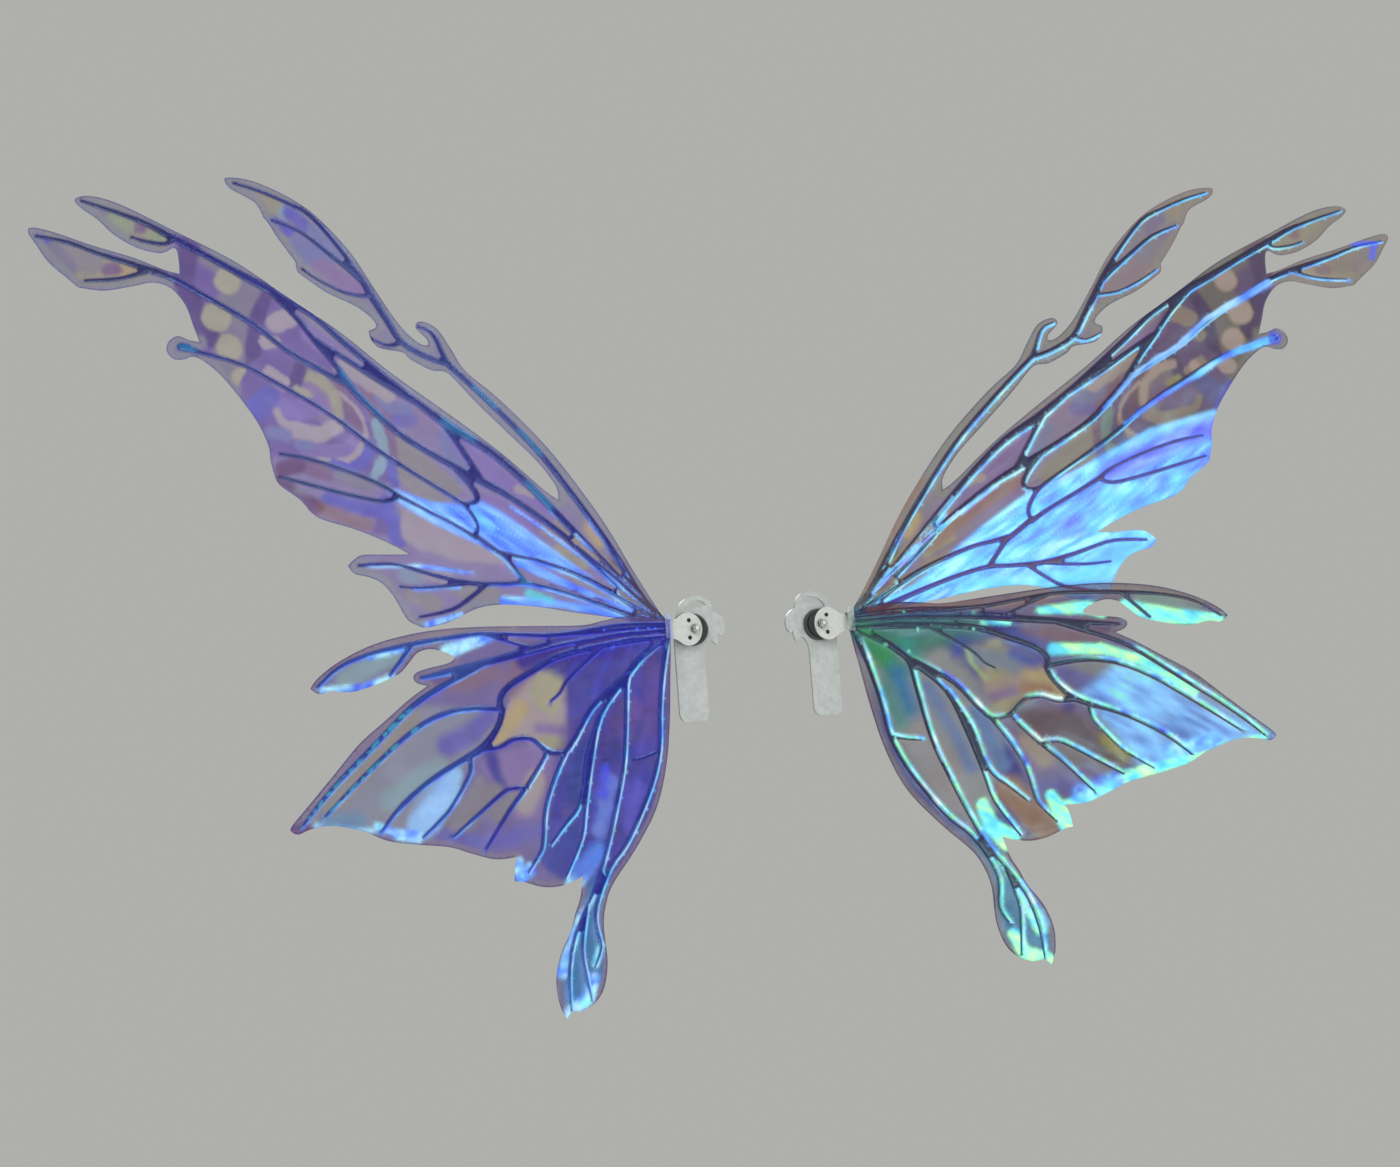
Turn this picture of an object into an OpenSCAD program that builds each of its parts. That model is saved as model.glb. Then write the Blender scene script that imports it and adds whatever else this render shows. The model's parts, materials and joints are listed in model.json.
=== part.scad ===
// Pair of swivelling fairy wings, worn on the back of a corset.
// Origin: midway between the two pivot bolts, on the face that lies on the wearer's back.
// +X is the wearer's right, +Y points into the wearer's back, +Z is up.
// A wing side is drawn for the right, with u outward from its bolt and v up, and mirrored.

/* [Wing panels] */
// Thickness of the cut vein sheet
vein_t = 1.2; // [0.8:0.1:2]
// Thickness of one clear film
film_t = 0.3; // [0.2:0.05:0.5]
// Fillet radius in the forks between veins
vein_fillet = 1.6; // [0.5:0.1:3]
// Sweep of the upper wings away from the wearer, in degrees
upper_sweep = 8.5; // [0:0.5:10]
// Sweep of the lower wings away from the wearer, in degrees
lower_sweep = 12; // [11:0.5:16]
// Extra lift of the left lower wing at its root, in degrees
left_lower_lift = 0; // [0:0.1:6]
// Extra lift of the right lower wing at its root, in degrees
right_lower_lift = 4.7; // [0:0.1:6]

/* [Pivots] */
// Distance of each pivot bolt from the middle
bolt_x = 53; // [48:1:60]
// Thread diameter of the pivot bolt
bolt_d = 4; // [3:0.5:4]
// Head diameter of the pivot bolt
head_d = 8; // [7:0.5:9]
// Head thickness of the pivot bolt
head_t = 1.2; // [0.8:0.1:1.4]
// Diameter of the rear friction disc
rear_disc_d = 25; // [22:1:28]
// Diameter of the front friction disc
front_disc_d = 21; // [18:1:24]
// Thickness of each friction disc
disc_t = 3; // [2:0.5:4]
// Width across the flats of the lock nut
nut_af = 7; // [6:0.5:8]
// Height of the lock nut with its collar
nut_h = 5; // [4:0.5:6]
// Height of the hexagon of the lock nut
nut_hex_h = 3.2; // [2.5:0.1:3.8]
// Outer diameter of the collar of the lock nut
nut_collar_d = 6; // [5.6:0.1:6.4]

/* [Plates] */
// Thickness of the back plate
back_t = 2.4; // [2:0.1:3]
// Length of the tongue below the bolt
tongue_l = 72; // [50:1:90]
// Thickness of the white wing plate
plate_t = 1.5; // [1:0.1:2]
// Diameter of the two spare holes in the wing plate
spare_hole_d = 3.4; // [2.5:0.1:4]
// Distance of the spare holes from the bolt, outward
spare_hole_u = 4.6; // [3:0.1:6]
// Distance of the spare holes from the bolt, up and down
spare_hole_v = 6.8; // [5.5:0.1:8]
// End of the plate's tang under the films
tang_end = 30; // [26:1:36]
// Half of the width of the tang
tang_half = 7; // [6:0.1:7.2]
// Width of the band of film wrapped round the roots of the panels
wrap_w = 6; // [4:0.5:8]
// Thickness of that band
wrap_t = 0.4; // [0.2:0.05:0.6]

/* [Hidden] */

// Segments of a full round
$fn = 48;
// Curve pieces between two control points of an outline
outline_steps = 3;
// Curve pieces between two control points of a vein
vein_steps = 3;
// Gap between faces that turn on each other
face_gap = 0.1;
// Radial gap between the bolt and what turns on it
turn_gap = 0.05;
// Radial gap round the bolt head, and gap under it
head_room = 0.2;
// Bend line of the panels, outward from the bolt
bend_u = 18;
// Point about which a panel is lifted
lift_u = 26;

// Depths of the stack, counted from the wearer's back towards the viewer
rear_disc_y = -back_t;
front_disc_y = rear_disc_y - disc_t - face_gap;
plate_y = front_disc_y - disc_t;
nut_y = plate_y - plate_t - face_gap;
laminate_t = 2 * film_t + vein_t;
upper_y = plate_y - plate_t / cos(upper_sweep);
lower_y = upper_y - laminate_t / cos(upper_sweep);
wrap_y = lower_y - laminate_t / cos(lower_sweep);
back_film_y = 0;
front_film_y = -film_t - vein_t;
bolt_tip = 0.7;
bolt_end_y = nut_y - nut_h - bolt_tip;

// Edge of the upper film, in smooth runs that meet at its sharp corners
upper_edge = [
    [[20, 8], [27, 11], [48, 44], [74, 88], [113, 140], [152, 179], [178, 200], [189, 217],
     [200, 233], [213, 238], [217, 233], [209, 225], [208, 220], [216, 222], [230, 235],
     [247, 260], [266, 289], [291, 315], [312, 329], [339, 340], [358, 342], [361, 339],
     [356, 333], [339, 324], [333, 313]],
    [[333, 313], [329, 308], [323, 298], [310, 280]],
    [[310, 280], [309, 273], [304, 269], [287, 258], [264, 248], [252, 239], [249, 233],
     [255, 230]],
    [[255, 230], [254, 224], [247, 217], [229, 214], [223, 209], [207, 201], [196, 200],
     [189, 195], [173, 178], [148, 154], [124, 131], [110, 112], [109, 102]],
    [[109, 102], [121, 110], [154, 138], [194, 167], [239, 198], [278, 228], [319, 254],
     [358, 279], [402, 300], [442, 318], [464, 323], [475, 320], [471, 314], [459, 306],
     [447, 295], [430, 286], [413, 283], [404, 287], [401, 285], [400, 277], [400, 268]],
    [[400, 268], [412, 271], [434, 279], [464, 287], [494, 296], [508, 298], [510, 294],
     [505, 286], [496, 273], [483, 262], [476, 256]],
    [[476, 256], [457, 254], [435, 258], [420, 261], [407, 257], [397, 245], [392, 230],
     [388, 218]],
    [[388, 218], [395, 219], [404, 222], [411, 218], [413, 211], [408, 205], [400, 205],
     [394, 207], [386, 204], [371, 191], [349, 162], [340, 142], [339, 131], [336, 118],
     [332, 112], [318, 102], [305, 89], [276, 80], [251, 70], [234, 61]],
    [[234, 61], [252, 61], [271, 61], [278, 58], [284, 53]],
    [[284, 53], [279, 47], [267, 44], [257, 39], [248, 28], [240, 13], [232, 8], [224, 6],
     [205, 10], [184, 19], [163, 22], [134, 20], [103, 15], [63, 9], [40, 2], [20, -6]]
];

// Edge of the lower film, in the same way
lower_edge = [
    [[21, 8], [45, 10], [65, 10], [83, 7], [101, 4], [142, 4], [190, 4], [226, 2],
     [257, -3], [282, -10], [306, -21], [322, -32], [328, -39]],
    [[328, -39], [321, -43], [312, -41], [295, -42], [275, -37], [257, -30], [248, -22],
     [241, -15], [232, -12], [222, -13], [212, -17], [211, -20], [217, -23], [232, -26],
     [242, -29], [245, -33], [242, -37], [234, -39]],
    [[234, -39], [250, -49], [269, -63], [292, -80], [312, -100], [334, -122], [349, -137],
     [349, -141], [344, -143], [335, -140], [323, -138], [311, -139], [291, -144],
     [274, -151], [250, -155], [225, -158], [206, -164], [187, -169], [169, -168]],
    [[169, -168], [172, -175], [173, -186]],
    [[173, -186], [165, -187], [152, -191], [138, -192], [124, -189], [115, -185]],
    [[115, -185], [119, -202], [124, -213], [129, -226], [139, -243], [144, -262],
     [142, -280], [137, -290]],
    [[137, -290], [132, -285], [123, -285], [111, -279], [103, -268], [99, -249],
     [100, -224], [97, -208], [89, -192], [68, -168], [46, -137], [34, -103], [28, -68],
     [25, -40], [22, -12], [21, 8]]
];

// Veins of the upper wing: outward, up, and width at each control point
upper_vein_runs = [
    // stalk, and the hook it ends in
    [[22, 3, 7], [42, 22, 6], [69, 67, 4.5], [102, 113, 4], [129, 146, 4], [168, 184, 4],
     [195, 208, 4.5]],
    [[192, 205, 4], [197, 215, 3.4], [201, 225, 3], [206, 231, 2.4], [214, 234, 1.6]],
    // ribs and twigs of the narrow leaf
    [[192, 206, 4.2], [209, 211, 4], [229, 222, 4.5], [240, 239, 5], [253, 260, 5.5],
     [261, 274, 4], [276, 294, 3.2], [296, 316, 3.2], [314, 325, 2.6], [335, 333, 2.2],
     [354, 338, 1.6]],
    [[229, 222, 3], [240, 219, 2.4], [253, 224, 1.6]],
    [[252, 256, 2.6], [271, 258, 2], [292, 267, 1.8], [305, 275, 1.4]],
    [[253, 262, 4], [263, 272, 4], [282, 287, 3.4], [304, 303, 2.8], [326, 311, 1.6]],
    // leading vein, out to the upper finger, and its fork
    [[22, 2, 8], [46, 22, 7], [67, 45, 6], [109, 89, 5.5], [137, 117, 5.5], [163, 139, 6],
     [188, 154, 6.5], [202, 163, 6.5], [230, 184, 4.5], [274, 219, 4.5], [298, 239, 4],
     [327, 256, 6], [353, 269, 5.5], [378, 282, 4.5], [404, 295, 5], [429, 307, 3.4],
     [470, 319, 1.6]],
    [[402, 295, 4], [409, 290, 2.6], [423, 291, 2.2], [434, 294, 1.6]],
    // vein of the lower finger, and its fork
    [[272, 187, 5], [295, 199, 4], [321, 213, 3.6], [346, 232, 4], [380, 251, 3.6],
     [404, 264, 4], [424, 271, 4.5], [456, 280, 3], [480, 288, 2.6], [504, 292, 1.6]],
    [[422, 270, 3.5], [441, 264, 2.4], [455, 262, 2.2], [470, 261, 1.6]],
    // cross veins in the middle of the wing
    [[330, 257, 5.5], [312, 238, 4], [297, 219, 4], [284, 204, 4.2], [272, 187, 5]],
    [[297, 221, 4], [275, 208, 4], [257, 197, 4.5], [238, 186, 5], [220, 176, 5]],
    [[276, 190, 5], [257, 171, 5], [237, 153, 4.5], [216, 140, 4.5], [194, 128, 5],
     [171, 116, 6], [147, 103, 4.5], [110, 77, 4.5], [90, 59, 5], [67, 39, 6], [36, 12, 7]],
    [[201, 163, 4], [187, 142, 4], [172, 118, 4.5]],
    [[193, 127, 4.5], [184, 117, 4], [177, 107, 4.2], [177, 101, 3.6], [184, 99, 2.6],
     [192, 101, 2.4]],
    // vein of the round knob
    [[402, 214, 5.5], [396, 213, 5.5], [387, 210, 2.8], [357, 202, 2.6], [331, 189, 3],
     [300, 172, 2.8], [280, 159, 3], [259, 143, 3.4], [234, 127, 3], [209, 112, 2.6],
     [190, 100, 3], [181, 89, 3.2], [178, 80, 3], [181, 74, 3]],
    // pair of veins of the trailing lobe, and their stem
    [[331, 136, 1.8], [307, 132, 2.6], [277, 123, 2.6], [252, 113, 2.8], [240, 105, 3.6]],
    [[332, 119, 1.8], [312, 114, 2.4], [279, 106, 2.6], [252, 101, 2.8], [240, 105, 3.6]],
    [[242, 106, 3.6], [219, 94, 3], [197, 83, 3], [180, 73, 4]],
    [[181, 75, 4], [167, 65, 4], [157, 58, 4], [149, 48, 3.4], [141, 38, 3.6]],
    [[163, 62, 4], [145, 58, 3.2], [126, 54, 3.2], [91, 41, 4], [63, 26, 5], [30, 5, 6]],
    // veins of the bottom leaf
    [[275, 53, 1.8], [259, 54, 2.4], [242, 53, 2.4], [214, 45, 3], [186, 39, 3.8],
     [159, 38, 3], [141, 38, 3.4], [118, 33, 3.2], [89, 24, 3.6], [59, 13, 4.5],
     [26, 0, 6]],
    [[188, 39, 3], [205, 37, 2.4], [224, 36, 2], [243, 37, 1.5]],
    [[173, 38, 3], [187, 28, 2.8], [203, 19, 2.4], [229, 14, 1.6]]
];

// Veins of the lower wing
lower_vein_runs = [
    // top finger and its fork
    [[23, 3, 6], [67, 3, 5], [102, -1, 4], [129, -3, 3.6], [156, -2, 3], [188, -1, 3.2],
     [217, -4, 3.2], [245, -8, 3.6], [280, -15, 2.6], [304, -24, 2.4], [322, -38, 1.6]],
    [[244, -8, 3.2], [250, -15, 2.6], [257, -23, 2.4], [264, -31, 1.5]],
    [[186, -1, 3], [169, -6, 2.2], [148, -12, 2.4]],
    // knob, and the two veins of the outer blade
    [[23, 0, 7], [74, -2, 7], [113, -7, 6.5], [146, -14, 6], [168, -19, 5.5],
     [192, -24, 5], [217, -29, 4], [238, -33, 2.4]],
    [[186, -23, 4.5], [207, -33, 4.2], [223, -40, 4], [246, -53, 3.8], [269, -72, 3.6],
     [290, -90, 3.4], [309, -106, 3], [328, -124, 2.6], [341, -138, 1.6]],
    [[173, -58, 4], [182, -57, 3.8], [206, -57, 3.6], [231, -63, 3.4], [256, -77, 3],
     [278, -94, 2.8], [300, -112, 2.4], [322, -131, 1.6]],
    // swirl from the root to the outer lobe, and its fork
    [[24, -3, 7], [85, -11, 6], [122, -19, 5], [144, -29, 4.6], [167, -41, 4.4],
     [175, -51, 4.4], [174, -60, 4.6], [179, -72, 4.4], [192, -86, 5.5], [212, -96, 4],
     [234, -107, 3.4], [260, -125, 3], [279, -144, 1.8]],
    [[203, -91, 3.4], [203, -101, 3], [207, -110, 2.6], [222, -130, 2.4], [232, -139, 2.2],
     [246, -150, 1.5]],
    // band from the root across the middle, and what hangs from it
    [[194, -87, 4], [178, -86, 3], [167, -81, 3], [157, -80, 3], [149, -82, 3],
     [139, -90, 3.6], [131, -92, 3], [122, -91, 3.6], [113, -81, 4], [98, -60, 4],
     [77, -43, 4.5], [64, -34, 5], [51, -22, 5.5], [27, -5, 6.5]],
    [[139, -90, 3.4], [142, -97, 3], [158, -117, 3.4], [174, -134, 2.8], [195, -161, 1.8]],
    [[157, -117, 3], [169, -117, 2.6], [178, -120, 2.6], [199, -135, 2.4], [221, -151, 1.6]],
    [[122, -91, 3.6], [133, -110, 3], [143, -133, 3], [147, -158, 2.8], [150, -166, 2.4],
     [161, -180, 1.6]],
    [[91, -65, 3.4], [105, -95, 3], [110, -119, 3], [116, -135, 2.8], [127, -146, 2.4],
     [141, -161, 1.6]],
    [[50, -22, 4], [69, -41, 3.6], [90, -65, 3.4], [100, -96, 2.8], [109, -134, 2.6],
     [114, -157, 2.4], [130, -186, 1.6]],
    [[84, -12, 4], [100, -24, 2.8], [117, -38, 2.2], [124, -47, 1.8], [132, -53, 1.2]],
    // the two long veins of the tail, the short one between them, and a twig
    [[54, -26, 4], [64, -37, 4], [67, -58, 3.8], [70, -85, 3.6], [74, -108, 3.4],
     [82, -134, 3.4], [91, -161, 3.2], [103, -190, 3], [119, -217, 3], [128, -236, 3],
     [133, -260, 2.8], [133, -284, 1.6]],
    [[25, -4, 6], [32, -35, 4.2], [37, -64, 4], [40, -93, 3.8], [49, -119, 3.6],
     [64, -146, 3.4], [77, -165, 3.2], [91, -180, 3], [104, -205, 3], [107, -221, 3],
     [104, -239, 2.6], [110, -253, 1.6]],
    [[114, -210, 3], [120, -239, 2.6], [118, -260, 2.4], [115, -278, 1.6]],
    [[64, -100, 1.4], [54, -98, 2], [42, -94, 2.6]]
];

// Edge of the back plate round its strap loop, scallops and teeth, from the bolt
back_edge = [
    [[15, 0], [15, 7], [12, 13], [9, 20], [5, 23.5], [0, 25.5], [-5, 26.3], [-11, 25.6],
     [-15, 23.4], [-18, 19], [-19, 13.5]],
    [[-19, 13.5], [-23, 11.7], [-26.5, 7.5], [-27.5, 2], [-26.5, -2.6], [-24, -5.2],
     [-22, -4.2]],
    [[-22, -4.2], [-21.2, -8], [-20.5, -11], [-19.3, -12], [-17.4, -10.4], [-15.3, -9],
     [-13, -9.8], [-11.2, -12.4], [-9.6, -16], [-9, -21]]
];
// Strap slot in the loop, from one point of the crescent to the other and back
slot_edge = [
    [[7, 14.4], [4.2, 18.8], [0, 21.6], [-6.4, 22.9], [-10.6, 21.6], [-12.9, 19.2]],
    [[-12.9, 19.2], [-8.5, 17.9], [0, 16.2], [7, 14.4]]
];
// Sides of the tongue, outward from the bolt
tongue_in = -9;
tongue_out = 15;
// Corner radius at the end of the tongue
tongue_r = 7;

// Chamfer at the end of the bolt's thread
bolt_chamfer = 0.4;
// Radius of the grooves in the rim of the rear disc
groove_r = 0.35;
// Wall of the ring in the collar of the lock nut, and the lip rolled over it
insert_wall = 0.6;
lip_t = 0.4;
lip_gap = 0.3;
insert_h = nut_h - nut_hex_h - lip_t;
// Where the band of film starts, the height of its fold, and the lower end of its leaves
wrap_u = 20;
wrap_top = 11.2;
wrap_low = -7;

// Upper half of the wing plate's edge, from its nose to its neck
plate_half = [[-5.9, 0], [-5.2, 4.6], [-2.6, 9.2], [1.5, 12.1], [5.5, 12.9], [9.5, 12],
              [13, 9.6], [15.5, 7.9], [bend_u, tang_half]];

// Point of a Catmull-Rom curve between b and c
function curve_point(a, b, c, d, t) =
    0.5 * (2 * b + (c - a) * t + (2 * a - 5 * b + 4 * c - d) * t * t
    + (3 * b - a - 3 * c + d) * t * t * t);

// Smooth curve through the control points p, with n pieces between each two
function smooth(p, n) =
    let (last = len(p) - 1)
    concat(
        [for (i = [0 : last - 1], k = [0 : n - 1])
            curve_point(p[max(i - 1, 0)], p[i], p[i + 1], p[min(i + 2, last)], k / n)],
        [p[last]]);

// Closed edge made of smooth runs, leaving out the point that two runs share
function closed_edge(runs) =
    [for (run = runs) let (q = smooth(run, outline_steps)) for (i = [0 : len(q) - 2]) q[i]];

function mirrored(p) = [for (i = [len(p) - 1 : -1 : 0]) [p[i].x, -p[i].y]];

// Unit normal of the curve q at point i
function normal_at(q, i) =
    let (a = q[max(i - 1, 0)], b = q[min(i + 1, len(q) - 1)], d = [b.x - a.x, b.y - a.y])
    [-d.y, d.x] / norm(d);

// One edge of a vein, at half its width to one side of its middle line
function vein_edge(q, side) =
    [for (i = [0 : len(q) - 1]) [q[i].x, q[i].y] + side * q[i].z / 2 * normal_at(q, i)];

function backwards(p) = [for (i = [len(p) - 1 : -1 : 0]) p[i]];

module vein(run) {
    q = smooth(run, vein_steps);
    polygon(concat(vein_edge(q, 1), backwards(vein_edge(q, -1))));
    for (p = [q[0], q[len(q) - 1]]) translate([p.x, p.y]) circle(d = p.z, $fn = 12);
}

module vein_sheet(runs) {
    offset(r = -vein_fillet, $fn = 12) offset(r = vein_fillet, $fn = 12)
        for (run = runs) vein(run);
}

// Stands a flat shape up, from depth y towards the viewer by t
module upright(y, t) {
    translate([0, y, 0]) rotate([90, 0, 0]) linear_extrude(t) children();
}

// Takes a panel drawn flat to its sweep and depth
module swept(sweep, y) {
    translate([bend_u, y, 0]) rotate([0, 0, -sweep]) translate([-bend_u, 0, 0]) children();
}

// Lifts a flat panel about its root
module lifted(lift) {
    translate([lift_u, 0]) rotate(lift) translate([-lift_u, 0]) children();
}

module on_right() {
    translate([bolt_x, 0, 0]) children();
}

module on_left() {
    mirror([1, 0, 0]) on_right() children();
}

// Round bar along Y, from depth y towards the viewer by t
module bar(d, y, t) {
    translate([0, y, 0]) rotate([90, 0, 0]) cylinder(d = d, h = t);
}

module back_plate() {
    color("silver") difference() {
        upright(0, back_t) difference() {
            union() {
                polygon(concat(
                    [for (run = back_edge) each smooth(run, outline_steps)],
                    [[tongue_in, -tongue_l + tongue_r], [tongue_out, -tongue_l + tongue_r]]));
                for (x = [tongue_in + tongue_r, tongue_out - tongue_r])
                    translate([x, -tongue_l + tongue_r]) circle(r = tongue_r);
                translate([tongue_in + tongue_r, -tongue_l])
                    square([tongue_out - tongue_in - 2 * tongue_r, 2 * tongue_r]);
            }
            polygon(closed_edge(slot_edge));
        }
        bar(bolt_d + 2 * turn_gap, 1, back_t + 2);
        bar(head_d + 2 * head_room, 1, 1 + head_t + face_gap);
    }
}

module pivot_bolt() {
    color("gainsboro") union() {
        bar(head_d, -face_gap, head_t);
        bar(bolt_d, -head_t, -bolt_end_y - head_t - bolt_chamfer);
        translate([0, bolt_end_y, 0]) rotate([-90, 0, 0])
            cylinder(d1 = bolt_d - 2 * bolt_chamfer, d2 = bolt_d, h = bolt_chamfer);
    }
}

module rear_disc() {
    color("dimgray") difference() {
        bar(rear_disc_d, rear_disc_y, disc_t);
        bar(bolt_d + 2 * turn_gap, rear_disc_y + 1, disc_t + 2);
        for (k = [1, 2]) translate([0, rear_disc_y - k * disc_t / 3, 0]) rotate([90, 0, 0])
            rotate_extrude() translate([rear_disc_d / 2, 0]) circle(r = groove_r, $fn = 24);
    }
}

module front_disc() {
    color("black") difference() {
        bar(front_disc_d, front_disc_y, disc_t);
        bar(bolt_d + 2 * turn_gap, front_disc_y + 1, disc_t + 2);
    }
}

module wing_plate() {
    half = smooth(plate_half, outline_steps);
    color("white") difference() {
        union() {
            upright(plate_y, plate_t) polygon(concat(half, mirrored(half)));
            swept(upper_sweep, plate_y) upright(0, plate_t)
                translate([bend_u, -tang_half]) square([tang_end - bend_u, 2 * tang_half]);
        }
        bar(bolt_d + 2 * turn_gap, plate_y + 1, plate_t + 2);
        for (v = [-spare_hole_v, spare_hole_v]) translate([spare_hole_u, 0, v])
            bar(spare_hole_d, plate_y + 1, plate_t + 2);
    }
}

module lock_nut() {
    color("lightgray") difference() {
        union() {
            intersection() {
                translate([0, nut_y, 0]) rotate([90, 0, 0]) rotate(30)
                    cylinder(d = nut_af / cos(30), h = nut_hex_h, $fn = 6);
                translate([0, nut_y, 0]) rotate([90, 0, 0])
                    cylinder(d1 = nut_af + 0.6, d2 = nut_af + 0.2, h = nut_hex_h);
            }
            bar(nut_collar_d, nut_y, nut_h);
        }
        bar(bolt_d, nut_y + 1, nut_h + 2);
        bar(bolt_d + 2 * insert_wall, nut_y - nut_hex_h, insert_h);
        bar(bolt_d + 2 * lip_gap, nut_y - nut_hex_h, nut_h);
    }
}

module nut_insert() {
    color("whitesmoke") difference() {
        bar(bolt_d + 2 * insert_wall, nut_y - nut_hex_h, insert_h);
        bar(bolt_d, nut_y, nut_h + 2);
    }
}

// Point in plan at u, on the face that bends from depth y at the bend line
function face_at(u, sweep, y) = [u, y - (u - bend_u) * tan(sweep)];

// Plan of what lies between two such faces, over the width of the band
module between_faces(sweep_a, y_a, sweep_b, y_b) {
    wrap_end = wrap_u + wrap_w;
    polygon([face_at(wrap_u, sweep_a, y_a), face_at(wrap_end, sweep_a, y_a),
             face_at(wrap_end, sweep_b, y_b), face_at(wrap_u, sweep_b, y_b)]);
}

// Band of film folded over the tang and the roots of both panels
module root_wrap() {
    rear_y = plate_y + wrap_t;
    front_y = wrap_y - wrap_t;
    color("lightsteelblue") union() {
        translate([0, 0, wrap_low]) linear_extrude(wrap_top + wrap_t - wrap_low) {
            between_faces(upper_sweep, plate_y, upper_sweep, rear_y);
            between_faces(lower_sweep, wrap_y, lower_sweep, front_y);
        }
        translate([0, 0, wrap_top]) linear_extrude(wrap_t)
            between_faces(upper_sweep, rear_y, lower_sweep, front_y);
    }
}

module upper_veins() {
    color("midnightblue") swept(upper_sweep, upper_y)
        upright(-film_t, vein_t) vein_sheet(upper_vein_runs);
}

module upper_film(y) {
    color([0.62, 0.55, 0.85, 0.5]) swept(upper_sweep, upper_y)
        upright(y, film_t) polygon(closed_edge(upper_edge));
}

module lower_veins(lift) {
    color("midnightblue") swept(lower_sweep, lower_y)
        upright(-film_t, vein_t) lifted(lift) vein_sheet(lower_vein_runs);
}

module lower_film(y, lift) {
    color([0.35, 0.35, 0.8, 0.5]) swept(lower_sweep, lower_y)
        upright(y, film_t) lifted(lift) polygon(closed_edge(lower_edge));
}

on_left() back_plate();  // left_back_plate
on_left() pivot_bolt();  // left_pivot_bolt
on_left() rear_disc();  // left_rear_disc
on_left() front_disc();  // left_front_disc
on_left() wing_plate();  // left_wing_plate
on_left() lock_nut();  // left_lock_nut
on_left() nut_insert();  // left_nut_insert
on_left() root_wrap();  // left_root_wrap
on_left() upper_veins();  // left_upper_veins
on_left() upper_film(front_film_y);  // left_upper_film_front
on_left() upper_film(back_film_y);  // left_upper_film_back
on_left() lower_veins(left_lower_lift);  // left_lower_veins
on_left() lower_film(front_film_y, left_lower_lift);  // left_lower_film_front
on_left() lower_film(back_film_y, left_lower_lift);  // left_lower_film_back
on_right() back_plate();  // right_back_plate
on_right() pivot_bolt();  // right_pivot_bolt
on_right() rear_disc();  // right_rear_disc
on_right() front_disc();  // right_front_disc
on_right() wing_plate();  // right_wing_plate
on_right() lock_nut();  // right_lock_nut
on_right() nut_insert();  // right_nut_insert
on_right() root_wrap();  // right_root_wrap
on_right() upper_veins();  // right_upper_veins
on_right() upper_film(front_film_y);  // right_upper_film_front
on_right() upper_film(back_film_y);  // right_upper_film_back
on_right() lower_veins(right_lower_lift);  // right_lower_veins
on_right() lower_film(front_film_y, right_lower_lift);  // right_lower_film_front
on_right() lower_film(back_film_y, right_lower_lift);  // right_lower_film_back
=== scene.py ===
"""Looks of a pair of iridescent fairy wings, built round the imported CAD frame."""
import json
import math

import bpy
import numpy as np
from mathutils import Matrix, Vector
from mathutils.geometry import delaunay_2d_cdt
from mathutils.kdtree import KDTree


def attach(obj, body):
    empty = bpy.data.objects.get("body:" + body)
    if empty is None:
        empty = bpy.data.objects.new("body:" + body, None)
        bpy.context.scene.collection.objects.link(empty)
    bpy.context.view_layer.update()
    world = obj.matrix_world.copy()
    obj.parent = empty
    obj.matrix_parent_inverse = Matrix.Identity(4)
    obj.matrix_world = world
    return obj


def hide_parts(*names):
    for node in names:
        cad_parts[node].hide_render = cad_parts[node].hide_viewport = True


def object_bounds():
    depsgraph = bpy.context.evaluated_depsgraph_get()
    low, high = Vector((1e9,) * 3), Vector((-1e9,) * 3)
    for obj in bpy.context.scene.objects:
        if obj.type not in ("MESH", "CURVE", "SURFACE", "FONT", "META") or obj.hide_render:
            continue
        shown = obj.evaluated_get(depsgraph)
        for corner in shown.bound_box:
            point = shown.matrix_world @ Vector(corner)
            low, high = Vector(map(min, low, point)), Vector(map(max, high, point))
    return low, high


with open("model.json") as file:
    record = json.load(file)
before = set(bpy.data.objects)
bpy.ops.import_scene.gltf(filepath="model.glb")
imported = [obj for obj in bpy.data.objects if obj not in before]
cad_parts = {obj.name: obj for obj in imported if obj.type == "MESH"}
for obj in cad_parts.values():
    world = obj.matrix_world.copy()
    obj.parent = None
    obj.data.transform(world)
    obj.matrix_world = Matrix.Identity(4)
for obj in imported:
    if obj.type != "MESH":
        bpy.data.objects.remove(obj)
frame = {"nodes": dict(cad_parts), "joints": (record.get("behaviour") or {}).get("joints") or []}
cad_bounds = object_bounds()

MM = 0.001
SIDES = ("left", "right")
BACKDROP = (0.43, 0.435, 0.415)     # linear colour of the plain surroundings
LIFT_U = 26.0                       # a lower panel is lifted about this point, in mm from its bolt

# ---------------------------------------------------------------- camera


def aim(obj, place, forward, up):
    """Puts a camera or lamp at place, looking along forward."""
    f = Vector(forward).normalized()
    r = f.cross(Vector(up)).normalized()
    u = r.cross(f)
    obj.matrix_world = Matrix(((r.x, u.x, -f.x, place[0]), (r.y, u.y, -f.y, place[1]),
                               (r.z, u.z, -f.z, place[2]), (0, 0, 0, 1)))


def linked(name, data):
    obj = bpy.data.objects.new(name, data)
    bpy.context.scene.collection.objects.link(obj)
    return obj


VIEW_FROM = Vector((-0.855, -2.247, -0.235))
VIEW_YAW, VIEW_PITCH, VIEW_ROLL = (math.radians(a) for a in (19.88, 6.48, 4.42))

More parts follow.
